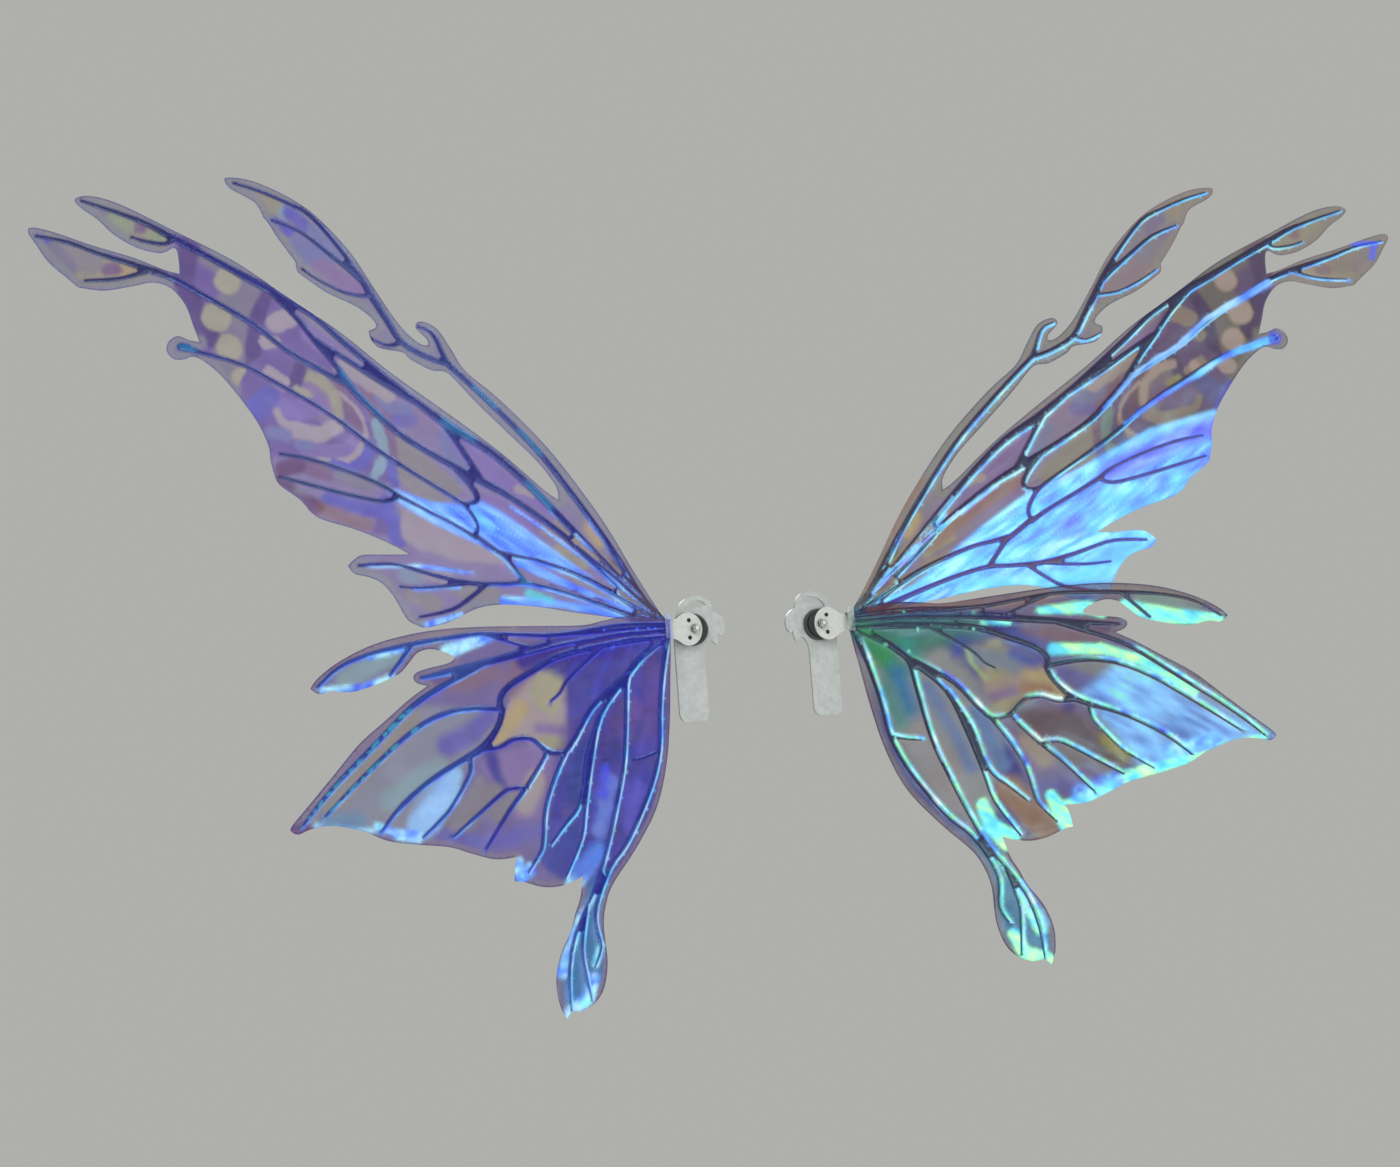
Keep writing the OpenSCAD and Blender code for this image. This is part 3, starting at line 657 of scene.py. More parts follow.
def sheen_and_mottle(paint, mask, colours, cell, stretch=(1, 1), turn=0.0, opacity=0.93, seed=0):
    """Uneven colours: noise runs through a list of colours. Most calls paint iridescent reflections
    and highlights; some mottle the print.
    """
    seed += paint.seed
    n = (0.7 * lattice_noise(paint.p, cell, seed, stretch, turn) + 0.5 * lattice_noise(paint.p,
                                                                                       cell * 0.45,
                                                                                       seed + 1,
                                                                                       stretch, turn))
    at = np.clip(0.5 + 0.62 * n, 0, 1) * (len(colours) - 1)
    ramp = np.array([linear(c) for c in colours])
    rgb = np.stack([np.interp(at, range(len(colours)), ramp[:, k]) for k in range(3)], 1)
    paint.blend(mask, rgb, opacity)


def band(paint, line, start, end=None, soft=3.0):
    """Mask along a line whose half width runs from start to end."""
    end = start if end is None else end
    run = run_along(line)
    best = np.full(len(paint.p), -np.inf)
    for (t, gap), a, b in zip(stretches(paint.p, line), run, run[1:]):
        half = start + (end - start) * (a + t * (b - a)) / run[-1]
        best = np.maximum(best, half - gap)
    return soft_edge(best + 0.5 * paint.wobble, soft)


def flank_light(paint, direction, colours, where=1.0, strength=1.0, width=1.0):
    """Painted highlight: a bright iridescent line beside each vein, on the side that faces direction.
    """
    way = np.array(direction) / np.hypot(*direction)
    facing_it = smooth_step((paint.panel.slope @ way - 0.1) / 0.5)
    line = smooth_step(1.4 - np.abs(paint.panel.vein_gap + 0.4) / width)
    grain = 0.8 + 0.2 * lattice_noise(paint.p, 14, paint.seed + 11)
    sheen_and_mottle(paint, facing_it * line * grain * strength * where, colours, 16, opacity=0.95, seed=12)


def within(paint, loop, soft=14):
    """Mask inside a loop."""
    return soft_edge(depth_inside(paint.p, loop), soft)


# Colours of the painted reflections and highlights.
BLUES = ((90, 105, 245), (110, 160, 255), (150, 195, 255), (175, 225, 255))
CYANS = ((95, 105, 240), (105, 165, 255), (120, 210, 255), (175, 245, 255))
VIOLETS = ((95, 80, 215), (110, 120, 250), (140, 170, 255))
DEEPS = ((75, 90, 235), (95, 140, 255), (125, 170, 255), (150, 205, 255))
PALES = ((150, 160, 255), (160, 215, 255), (195, 245, 255), (225, 255, 245))
GREENS = ((90, 195, 235), (120, 225, 225), (160, 250, 190), (205, 255, 175))


def paint_upper(panel, side):
    paint = Paint(panel, (140, 130, 165), 0.56, 21, softness=0.6)
    paint.area(UPPER_CLEAR, (140, 135, 160), 6, 0.46)
    lavender_print(paint)
    for line in ([(56, 38), (110, 84)], [(70, 44), (124, 80)], [(48, 18), (112, 50)]):
        paint.stroke(line, 4, (160, 150, 135), 7, 0.6, 0.7)
    margins(paint, (145, 145, 155), (105, 100, 140), 8, 0.34, UPPER_PRINTED)
    if side == "left":
        light_left_upper(paint)
    else:
        light_right_upper(paint)
    return paint


def light_left_upper(paint):
    """Painted blue reflections and highlights over the root of the left upper panel, and the colours
    of its veins.
    """
    s, on_veins = paint.stroke, paint.on_veins
    u, v = paint.p.T
    paint.tint((1.0, 1.0, 0.95))
    # painted reflection of blue light over the root, mottled and streaked
    root_glare = within(paint, [(84, 40), (140, 80), (160, 94), (176, 102), (190, 98), (214, 100),
                          (242, 110), (240, 100), (212, 84), (186, 72), (160, 62), (96, 42)], 5)
    sheen_and_mottle(paint, root_glare, DEEPS, 22, (2.2, 0.5), 30, seed=30)
    sheen_and_mottle(paint, 0.7 * root_glare, DEEPS, 7, (3.0, 0.4), 32, seed=36)
    sheen_and_mottle(paint, 0.7 * band(paint, [(166, 80), (182, 94)], 3, soft=9), CYANS[1:3], 8, seed=31)
    # painted highlight lines running out from the root
    for line, r0, r1 in (([(46, 23), (98, 61), (124, 80), (150, 97)], 1.6, 0.8),
                         ([(84, 63), (118, 94)], 1.4, 0.9),
                         ([(54, 42), (82, 82), (98, 108)], 1.3, 0.9)):
        sheen_and_mottle(paint, band(paint, line, r0, r1, 1.6), DEEPS[1:], 12, seed=32)
    # painted bands of reflected blue light near the lower edge
    sheen_and_mottle(paint, band(paint, [(54, 15), (110, 38), (146, 54)], 1.4, 3.6), DEEPS, 14, (2.4, 0.5), 24,
            seed=33)
    sheen_and_mottle(paint, band(paint, [(58, 10), (90, 17), (124, 23), (160, 25)], 2.0, 4.0), DEEPS, 16,
            (2.4, 0.5), 14, seed=34)
    s([(74, 20), (120, 36)], 1.8, (95, 75, 140), 3, 0.8)
    # a small painted cyan glint
    s([(122, 25), (140, 31)], 3, (95, 190, 200), 6, 0.9, 0.8)
    # painted reflection bands on the bottom leaf
    for line, r in (([(196, 15), (224, 8)], 2.2), ([(184, 46), (226, 52), (270, 53)], 1.4),
                    ([(196, 36), (232, 35)], 1.4)):
        sheen_and_mottle(paint, band(paint, line, r), BLUES, 10, seed=35)
    veined(paint, (50, 45, 105))
    leaf = within(paint, UPPER_CLEAR, 20)
    on_veins(0.7 * leaf * smooth_step((v - 170) / 60), (85, 90, 130))
    on_veins(0.75 * smooth_step((u - 396) / 24), (70, 70, 90))
    for line in ([(246, 168), (276, 198)], [(124, 140), (136, 152)], [(158, 176), (170, 186)],
                 [(396, 213), (402, 214)], [(178, 152), (196, 162)], [(118, 98), (132, 112)],
                 [(140, 38), (143, 46)]):
        on_veins(0.7 * smooth_step((9 - to_polyline(paint.p, line)) / 7), (55, 110, 155))
    root = within(paint, [(20, -6), (20, 20), (190, 100), (246, 108), (240, 92), (150, 24)], 20)
    on_veins(smooth_step((66 - u) / 24), (85, 75, 90))
    # painted highlights beside the veins: strong near the root, weak over the blade
    flank_light(paint, (0.4, -1), DEEPS, root, 0.85, 1.2)
    blade = smooth_step((260 - u) / 60) * (1 - root)
    flank_light(paint, (1, -0.9), ((75, 75, 150), (90, 95, 190)), blade, 0.25)
    lobe = within(paint, [(240, 98), (236, 112), (340, 142), (345, 112)], 8)
    on_veins(0.7 * lobe, (35, 40, 75))


def light_right_upper(paint):
    """The right upper panel: a painted reflection of a bright sky from its root to the lobe, painted
    highlights beside the veins, and the colours of its veins.
    """
    s, on_veins = paint.stroke, paint.on_veins
    paint.tint((0.96, 0.94, 0.72))
    ends = within(paint, [(240, 252), (300, 345), (370, 352), (420, 306), (480, 330), (525, 300),
                          (480, 250), (410, 252), (404, 290), (360, 285), (318, 262)], 10)
    paint.mix(0.55 * ends, (145, 135, 130))
    # Darkens and browns the violet field at the wing's end.
    darker_field = within(paint, FIELD_END + [(262, 120), (240, 130), (258, 180), (290, 215)], 18)
    paint.tint((0.72, 0.70, 0.64), darker_field)
    for u, v, r in ((364, 264, 9), (374, 237, 10), (366, 214, 9), (358, 193, 7), (330, 194, 5)):
        s([(u, v)], r, (160, 145, 140), 6, 0.6, 0.9)
    s([(278, 186), (269, 172), (267, 160), (271, 146), (284, 138)], 3, (100, 85, 110), 4,
      strength=0.7)
    for line, r in ((EYE_CRESCENT, 1.5), ([(265, 148), (270, 141), (280, 137)], 2.0),
                    (EYE_BROW, 3.5)):
        s(line, r, (160, 145, 140), 4, 0.6, 0.85)
    for line, r in (([(34, 22), (74, 88), (92, 112)], 2.4), ([(60, 32), (86, 54), (110, 72)], 3),
                    ([(96, 60), (130, 84), (168, 106)], 7)):
        s(line, r, (145, 120, 110), 7, 0.6, 0.8)
    # painted reflection of a bright sky over the inner and outer cells; the veins are put back
    # afterwards
    before = paint.colour, paint.opacity
    inner = within(paint, [(44, 14), (78, 27), (140, 72), (172, 92), (188, 100), (240, 120),
                           (244, 60), (290, 66), (284, 46), (256, 34), (244, 6), (228, -2), (180, 14),
                           (134, 14), (84, 10)], 4)
    outer = within(paint, [(186, 88), (238, 120), (286, 143), (352, 158), (364, 146), (340, 106),
                           (306, 88), (262, 74), (238, 60), (196, 56)], 6)
    sheen_and_mottle(paint, inner, CYANS, 24, (2.4, 0.55), 24, 0.96, 40)
    sheen_and_mottle(paint, 0.55 * inner, VIOLETS[1:2] + CYANS[1:] + PALES[2:3], 8, (3.0, 0.35), 28, 0.96, 41)
    sheen_and_mottle(paint, outer, VIOLETS[:2] + CYANS[1:], 20, (1.5, 0.8), 34, 0.96, 42)
    sheen_and_mottle(paint, 0.5 * outer, CYANS, 7, (2.6, 0.4), 34, 0.96, 43)
    sheen_and_mottle(paint, band(paint, [(250, 110), (310, 134), (346, 144)], 9, soft=12), VIOLETS, 16,
            (1.6, 0.6), 24, 0.96, 44)
    sheen_and_mottle(paint, band(paint, [(120, 22), (200, 22), (232, 30), (262, 50)], 6, 12, 8), CYANS[1:], 16,
            (1.6, 0.7), 20, 0.97, 46)
    paint.restore_veins(*before)
    glare = np.maximum(inner, outer)
    veined(paint, (60, 55, 75), inset=0.6)
    # where the painted glare lies the veins are lighter, and their edges carry a painted blue
    # highlight
    on_veins(0.75 * glare, (110, 90, 120))
    paint.mix(0.6 * glare * smooth_step(1 - np.abs(paint.panel.vein_gap - 0.1) / 0.9),
              (130, 160, 250))
    on_veins(smooth_step((66 - paint.p[:, 0]) / 24), (90, 90, 90))
    # painted highlight lines along the root veins
    for line, r in (([(44, 22), (80, 53), (103, 71), (154, 103)], 1.3),
                    ([(56, 36), (86, 60), (110, 82)], 1.1)):
        sheen_and_mottle(paint, band(paint, line, 0.8 * r, r, 1.6), CYANS[1:3] + PALES[:2], 18, seed=48)
    # painted highlights beside the veins
    near = within(paint, [(106, 74), (96, 100), (110, 156), (210, 240), (260, 250), (236, 150),
                          (176, 104), (130, 84)], 8) * (1 - glare)
    flank_light(paint, (0.5, -1), PALES, near, 1.0, 1.25)
    flank_light(paint, (0.45, -1), CYANS[1:], 1 - glare, 0.9, 1.0)
    blue = within(paint, [(300, 200), (520, 300), (520, 240), (400, 190), (350, 160)], 30)
    flank_light(paint, (0.45, -1), BLUES[:3], blue, 0.8)
    # painted highlight stripes over two long veins
    for line, colours in (([(250, 162), (283, 193), (318, 211), (344, 232), (400, 260)], BLUES),
                          ([(266, 149), (297, 168), (332, 186), (358, 201), (398, 213)],
                           CYANS[:3] + PALES[1:2])):
        sheen_and_mottle(paint, 0.9 * band(paint, line, 1.2, 3.2, 2.4), colours, 24, seed=47)
    s([(478, 291), (498, 290), (494, 279)], 2.6, (90, 105, 225), 4, 0.85, 0.7)
    s([(402, 214)], 6, (85, 90, 200), 5, strength=0.8)
    s([(360, 175), (350, 158)], 6, (95, 95, 180), 8, strength=0.6)


def indigo_print(paint):
    """The pattern that is printed on both lower panels."""
    s = paint.stroke
    # outer blade
    paint.area([(176, -60), (240, -52), (300, -104), (345, -140), (300, -142), (250, -152),
                (208, -100), (178, -76)], MIST, 10, 0.56)
    s([(186, -66), (204, -76), (222, -84)], 8, PERI, 10)
    s([(250, -62), (330, -134)], 8, STONE, 9)
    s([(230, -100), (270, -122)], 8, FROST, 12)
    s([(222, -118), (240, -136), (248, -142)], 10, SKY, 8, 0.66)
    s([(216, -106), (226, -118)], 6, SKY, 7, 0.66)
    # cells in the middle
    paint.area([(116, -26), (150, -28), (166, -48), (172, -64), (188, -84), (160, -80), (138, -90),
                (122, -90), (116, -60)], PEARL, 4, 0.56)
    s([(130, -40), (138, -46), (136, -54)], 11, CREAM, 6, 0.6)
    s([(122, -66), (134, -68), (146, -60)], 3.4, PEARL, 3)
    s([(124, -76), (144, -73)], 4, LILAC, 9)
    s([(158, -58), (168, -68), (182, -80)], 6.5, GOLD, 8, 0.6)
    s([(126, -85), (142, -83)], 4.5, SAND, 6)
    s([(152, -28), (166, -42), (158, -28)], 7, MAUVE, 9, 0.68)
    paint.area([(132, -96), (150, -86), (186, -90), (196, -100), (178, -118), (160, -118),
                (172, -140), (150, -140), (142, -120)], LILAC, 5, 0.56)
    s([(150, -112), (160, -130)], 8, PEARL, 7)
    s([(186, -92), (184, -104), (178, -118)], 4.5, INDIGO, 8, 0.7)
    s([(186, -122), (204, -132), (216, -142)], 10, SMOKE, 9)
    s([(170, -124), (184, -136)], 6, SMOKE, 8)
    s([(150, -150), (196, -157), (228, -152)], 6, PERI, 10, 0.72)
    s([(196, -112), (218, -140)], 5, SMOKE, 8)
    # deep inner half
    paint.area([(22, 6), (110, 4), (160, -20), (120, -34), (118, -90), (136, -126), (150, -170),
                (130, -190), (98, -200), (60, -160), (30, -100), (22, -20)], INDIGO, 10, 0.76)
    s([(40, -34), (46, -70), (56, -104)], 8, PLUM, 10)
    s([(62, -56), (78, -70)], 7, PLUM, 9)
    s([(128, -140), (140, -168)], 8, PERI, 10)
    s([(126, -112), (134, -138)], 5, INDIGO, 8)
    s([(60, -12), (110, -14), (150, -20)], 9, NIGHT, 9, 0.84)
    s([(30, 0), (60, 4), (120, 1)], 5, PERI, 8)
    # top finger and the knob
    s([(160, 1), (220, 0), (270, -8), (306, -22)], 5, PEARL, 6, 0.5)
    s([(262, -16), (300, -34)], 8, FROST, 8, 0.54)
    s([(176, -30), (206, -38), (230, -36)], 6, MAUVE, 9)
    s([(214, -29), (232, -34)], 4, PLUM, 6)
    # tail
    s([(100, -200), (112, -226), (122, -262), (132, -282)], 15, TEAL, 12, 0.7)
    s([(104, -214), (103, -240), (108, -262)], 6, TEAL, 8, 0.6)


def paint_lower(panel, side):
    paint = Paint(panel, (120, 110, 160), 0.62, 41)
    indigo_print(paint)
    margins(paint, (135, 125, 150), (85, 75, 120), 6, 0.5)
    if side == "left":
        light_left_lower(paint)
    else:
        light_right_lower(paint)
    return paint


def light_left_lower(paint):
    """Painted blue reflections on the tips and the outer blade, painted highlights beside the veins,
    and the colours of the veins of the left lower panel.
    """
    s, on_veins = paint.stroke, paint.on_veins
    # painted reflections on the tips, the tail and the outer blade
    for line, r0, r1 in (([(98, -166), (112, -180), (124, -190)], 5, 7),
                         ([(104, -196), (120, -216), (130, -236), (138, -256)], 2, 5),
                         ([(160, -178), (168, -184), (169, -172)], 5, 4),
                         ([(180, -5), (196, -8), (216, -14)], 3, 6),
                         ([(262, -32), (286, -39), (318, -41)], 2.5, 3.5),
                         ([(248, -11), (280, -17)], 2.5, 2.5),
                         ([(250, -149), (266, -147), (282, -140)], 4.5, 3),
                         ([(112, -262), (118, -276), (134, -286)], 5, 6),
                         ([(104, -238), (110, -252)], 3, 3)):
        sheen_and_mottle(paint, band(paint, line, r0, r1, 4), BLUES + CYANS[2:3], 9, (1.6, 0.8), -40, seed=50)
    sheen_and_mottle(paint, 0.75 * band(paint, [(226, -110), (242, -136)], 7, 12, 12),
            ((130, 160, 230), (155, 190, 245)), 16, opacity=0.86, seed=52)
    sheen_and_mottle(paint, 0.8 * band(paint, [(258, -146), (330, -138)], 2, 3, 5), BLUES, 8, seed=53)
    # small painted cyan glints
    for line, r in (([(124, -230), (134, -252)], 1.8), ([(116, -276), (122, -280)], 2.4),
                    ([(166, -182)], 2.2)):
        s(line, r, (130, 230, 230), 3, 0.95, 0.8)
    for line in ([(30, -12), (60, -14), (100, -20), (118, -30)], [(44, -40), (50, -90), (66, -140)],
                 [(88, -84), (98, -120), (104, -150)]):
        sheen_and_mottle(paint, 0.5 * band(paint, line, 2.4, 4.0, 5),
                ((60, 45, 120), (65, 60, 195), (80, 95, 215)), 12, (2.5, 0.6), -50, 0.85, 54)
    s([(296, -136), (322, -134)], 6, (105, 135, 175), 8, strength=0.7)
    s([(340, -139), (350, -142)], 5, (100, 70, 120), 5, 0.8)
    paint.tint((1.0, 1.0, 0.84))
    cool = within(paint, [(24, -20), (60, -10), (110, -40), (132, -100), (148, -170), (130, -186),
                          (96, -190), (56, -140), (26, -60)], 14)
    sheen_and_mottle(paint, 0.5 * cool, ((90, 75, 135), (60, 50, 105), (70, 65, 150), (50, 60, 120),
                                (80, 85, 195)), 18, (2.2, 0.7), -64, 0.8, 56)
    # patches over the inner half; the two light blue ones, (120, 145, 215) and (95, 140, 230), are
    # painted glints
    for line, r, colour in (([(38, -34), (48, -80)], 7, (100, 80, 140)),
                            ([(60, -62), (74, -86)], 7, (105, 80, 140)),
                            ([(62, -118), (74, -150)], 6, (100, 100, 185)),
                            ([(78, -88), (90, -104)], 7, (50, 55, 115)),
                            ([(86, -116), (98, -150)], 7, (120, 145, 215)),
                            ([(89, -106), (93, -124)], 4, (75, 85, 225)),
                            ([(102, -168), (116, -182)], 8, (95, 140, 230)),
                            ([(102, -86), (114, -108), (120, -126)], 7, (45, 65, 120)),
                            ([(122, -150), (140, -174)], 8, (75, 85, 140))):
        s(line, r, colour, 9, strength=0.85, wobble=2.2)
    sheen_and_mottle(paint, 0.3 * cool, ((60, 50, 115), (105, 90, 155), (70, 80, 175)), 5, (3.0, 0.4), -10,
            0.8, 58)
    veined(paint, (45, 45, 120))
    outer = within(paint, [(176, 10), (360, -20), (360, -160), (200, -160), (196, -80)], 20)
    on_veins(0.6 * outer, (70, 85, 140))
    centre = within(paint, [(116, -20), (180, -40), (196, -90), (140, -96), (116, -92)], 10)
    on_veins(0.7 * centre, (45, 45, 105))
    # painted highlights beside the veins
    deep = within(paint, [(20, -10), (96, -40), (160, -100), (176, -190), (140, -300), (90, -300),
                          (20, -120)], 16)
    flank_light(paint, (-1, 0.15), CYANS[1:3] + BLUES[2:] + PALES[1:2], deep, 0.95, 1.15)
    flank_light(paint, (-0.7, -0.7), BLUES[:3], outer, 0.65, 1.1)
    flank_light(paint, (0.3, -1), (BLUES[0], VIOLETS[0]), 1 - outer - deep, 0.5)
    # broken painted cyan glints on the veins along the blade
    dashes = smooth_step(0.4 + 2.5 * lattice_noise(paint.p, 3.2, 77))
    d = to_polyline(paint.p, [(254, -66), (300, -112), (344, -142)])
    on_veins(0.7 * dashes * smooth_step((14 - d) / 6), (85, 160, 180))
    # tiny painted blue glints at the root
    for glint_spot in ((36, 1), (42, 1), (52, 0.6), (82, 0), (75, -13), (47, -22), (64, -34)):
        s([glint_spot], 0.9, (95, 120, 255), 1.6, 0.95, wobble=0.2)


def light_right_lower(paint):
    """The right lower panel, greyer films with painted cyan and green reflections on the tips and
    painted highlights beside the veins.
    """
    s = paint.stroke
    paint.tint((0.86, 0.84, 0.60))
    paint.area([(24, -30), (96, -30), (118, -60), (128, -110), (112, -170), (90, -176), (56, -130)],
               (140, 140, 140), 14, 0.5)
    s([(76, -60), (92, -100), (100, -128)], 5, (110, 120, 150), 10, 0.6)
    s([(112, -84), (126, -130)], 6, (100, 115, 150), 8, 0.7)
    s([(150, -96), (190, -110), (216, -132)], 12, (100, 85, 90), 14, 0.74)
    s([(128, -150), (150, -182)], 12, (135, 110, 95), 10, 0.7)
    s([(60, -96), (76, -120), (84, -150)], 12, (145, 140, 140), 12, 0.5)
    s([(30, -4), (70, -12), (120, -18)], 10, (80, 110, 110), 18, 0.84)
    s([(54, -18), (76, -26), (92, -24)], 6, (75, 115, 100), 16, 0.84)
    s([(34, -10), (44, -26), (52, -42)], 9, (60, 120, 80), 12, 0.84)
    s([(54, -46), (58, -74)], 8, (65, 105, 140), 18, 0.84)
    s([(66, -24), (70, -40)], 6, (65, 125, 115), 12, 0.84)
    s([(42, -54), (50, -84)], 5, (75, 120, 110), 18, 0.8)
    s([(118, -40), (150, -52)], 8, (125, 130, 140), 12)
    s([(108, -28), (104, -36)], 3, (75, 85, 150), 9, strength=0.8)
    s([(112, -34), (114, -46), (124, -60)], 1.6, (150, 170, 125), 4, strength=0.8)
    s([(150, -30), (176, -48)], 7, (85, 90, 140), 12)
    s([(150, -44), (164, -54)], 4, (65, 75, 150), 11, strength=0.8)
    s([(154, -72), (172, -76)], 5, (140, 110, 90), 8)
    s([(212, -122), (224, -136)], 6, (125, 115, 65), 8)
    s([(40, 6), (90, 3), (140, -3), (180, -5)], 3, (130, 110, 110), 5, 0.7)
    veined(paint, (60, 55, 70), inset=0.5)
    # painted reflections on the blade, the tips and the top finger; the veins are put back afterwards
    before = paint.colour, paint.opacity
    blade = within(paint, [(196, -84), (230, -64), (262, -72), (312, -112), (352, -142), (300, -146),
                           (244, -158), (214, -108)], 12)
    sheen_and_mottle(paint, 0.8 * blade, ((95, 125, 195), (120, 165, 225), (135, 195, 250), (140, 225, 225)),
            15, (2.2, 0.5), -36, 0.86, 60)
    for line, r0, r1 in (([(182, -45), (220, -50), (250, -63), (290, -96)], 5, 3),
                         ([(172, -170), (204, -164), (228, -156)], 6, 8),
                         ([(104, -158), (108, -176), (120, -188)], 5, 9),
                         ([(160, -160), (172, -186)], 5, 9),
                         ([(236, -152), (290, -147), (340, -139)], 5, 3),
                         ([(112, -204), (124, -230), (134, -262)], 3, 5),
                         ([(112, -262), (118, -278), (134, -286)], 5, 7),
                         ([(176, -13), (214, -16), (226, -20)], 3, 6),
                         ([(246, -22), (282, -33), (320, -41)], 8, 5),
                         ([(128, -16), (150, -19)], 1.2, 1.8)):
        sheen_and_mottle(paint, band(paint, line, r0, r1, 4), GREENS, 9, (1.8, 0.6), -30, 0.95, 62)
    for line, r in (([(184, -162), (214, -156)], 8), ([(124, -226), (136, -258)], 5),
                    ([(262, -140), (300, -136)], 6)):
        sheen_and_mottle(paint, 0.6 * band(paint, line, r, r, 6), CYANS, 8, seed=64)
    paint.restore_veins(*before)
    # painted highlights beside the veins
    lower = within(paint, [(20, -10), (110, -60), (176, -60), (360, -40), (360, -160), (176, -190),
                           (140, -300), (80, -300), (20, -120)], 16)
    flank_light(paint, (0.7, 0.4), CYANS + GREENS[1:3] + PALES[1:], lower, 1.0, 1.5)
    # tiny painted glints at the root
    for glint_spot in ((67, 2), (123, -7), (120, -20), (76, -13), (48, -22), (66, -30)):
        s([glint_spot], 1.0, (135, 220, 190), 1.8, 0.95, wobble=0.2)


BLACKEST, MOST_OPAQUE = 0.004, 0.985
OPACITY_MARGIN = 0.04       # how much more opaque a film is than its darkest channel needs


def film_attribute(piece, paint, order):
    """Stores the colour of one sheet, so that two sheets together show the painted colour."""
    wanted = np.maximum(paint.colour - SHEEN, 0.01) * GAIN
    wall = np.array(BACKDROP)
    need = 1 - (wanted / wall).min(1) + OPACITY_MARGIN
    both = np.clip(np.maximum(paint.opacity, need), 0, MOST_OPAQUE)
    colour = np.clip((wanted - (1 - both)[:, None] * wall) / both[:, None], BLACKEST, 1)
    one = 1 - np.sqrt(1 - both)
    values = np.concatenate([colour, one[:, None]], 1)[order]
    layer = piece.data.color_attributes.new("print", "FLOAT_COLOR", "POINT")
    layer.data.foreach_set("color", values.astype(np.float32).ravel())


# ---------------------------------------------------------------- materials


def material(name, build, **fixed):
    m = bpy.data.materials.new(name)
    m.use_nodes = True
    tree = m.node_tree
    shader = tree.nodes["Principled BSDF"]
    for key, value in fixed.items():
        shader.inputs[key.replace("_", " ")].default_value = value
    build(tree, shader)
    return m


def node(tree, kind, **settings):
    n = tree.nodes.new("ShaderNode" + kind)
    for key, value in settings.items():
        if hasattr(n, key):
            setattr(n, key, value)
        else:
            n.inputs[key.replace("_", " ")].default_value = value
    return n


def noise_of(tree, scale, detail=3.0, stretch=(1, 1, 1)):
    """Object-space noise; stretch squeezes it along an axis."""
    mapping = node(tree, "Mapping", Scale=stretch)
    tree.links.new(node(tree, "TexCoord").outputs["Object"], mapping.inputs["Vector"])
    n = node(tree, "TexNoise", Scale=scale, Detail=detail)
    tree.links.new(mapping.outputs["Vector"], n.inputs["Vector"])
    return n.outputs["Fac"]


def ranged(tree, value, low, high):
    """Spreads the middle of a noise from low to high."""
    r = node(tree, "MapRange", From_Min=0.3, From_Max=0.7, To_Min=low, To_Max=high)
    tree.links.new(value, r.inputs["Value"])
    return r.outputs["Result"]


def mixed(tree, factor, a, b, blend="MIX"):
    """Colour mix; the factor, a and b are sockets or constants."""
    m = node(tree, "Mix", data_type="RGBA", blend_type=blend)
    for value, socket in ((factor, m.inputs[0]), (a, m.inputs[6]), (b, m.inputs[7])):
        if isinstance(value, bpy.types.NodeSocket):
            tree.links.new(value, socket)
        else:
            socket.default_value = (*value, 1) if isinstance(value, tuple) else value
    return m.outputs[2]


def feed(tree, shader, **sources):
    """Links sockets to the shader's inputs."""
    for key, source in sources.items():
        tree.links.new(source, shader.inputs[key.replace("_", " ")])


def bump_of(tree, shader, height, strength, distance):
    b = node(tree, "Bump", Strength=strength, Distance=distance)
    tree.links.new(height, b.inputs["Height"])
    feed(tree, shader, Normal=b.outputs["Normal"])


def film_look(tree, shader):
    """Printed clear film: the painted colour and density, both slightly cloudy."""
    layer = node(tree, "Attribute", attribute_name="print")
    cloud = ranged(tree, noise_of(tree, 75, 5), 0.90, 1.10)
    density = ranged(tree, noise_of(tree, 40, 3), 0.94, 1.06)
    alpha = node(tree, "Math", operation="MULTIPLY", use_clamp=True)
    tree.links.new(layer.outputs["Alpha"], alpha.inputs[0])
    tree.links.new(density, alpha.inputs[1])
    feed(tree, shader, Base_Color=mixed(tree, 1.0, layer.outputs["Color"], cloud, "MULTIPLY"),
         Alpha=alpha.outputs[0], Roughness=ranged(tree, noise_of(tree, 90, 2), 0.20, 0.34))
    bump_of(tree, shader, noise_of(tree, 160, 3, (1, 1, 0.6)), 0.08, 0.0005)


def vein_look(tree, shader):
    layer = node(tree, "Attribute", attribute_name="print")
    cloud = ranged(tree, noise_of(tree, 70, 3), 0.0, 0.4)
    feed(tree, shader, Base_Color=mixed(tree, cloud, layer.outputs["Color"], (0.03, 0.03, 0.12)),
         Roughness=ranged(tree, noise_of(tree, 120, 2), 0.2, 0.42))
    bump_of(tree, shader, noise_of(tree, 420, 2), 0.3, 0.0002)


def speckled(colour, dark, scale, rough=(0.3, 0.5), bump=0.15, depth=0.0001):
    """Plastic, rubber or metal with fine mottling and an uneven gloss."""
    def build(tree, shader):
        feed(tree, shader,
             Base_Color=mixed(tree, ranged(tree, noise_of(tree, scale, 4), 0, 1), colour, dark),
             Roughness=ranged(tree, noise_of(tree, scale * 0.35, 3), *rough))
        bump_of(tree, shader, noise_of(tree, scale * 2.2, 2), bump, depth)
    return build


def wrap_look(dark, pale):
    """Thin film, crinkled across the wing's root."""
    def build(tree, shader):
        n = noise_of(tree, 260, 3, (1, 1, 0.35))
        feed(tree, shader, Base_Color=mixed(tree, ranged(tree, n, 0, 1), dark, pale),
             Alpha=ranged(tree, n, 0.16, 0.34))
        bump_of(tree, shader, noise_of(tree, 340, 3, (1, 1, 0.3)), 0.4, 0.0003)
    return build


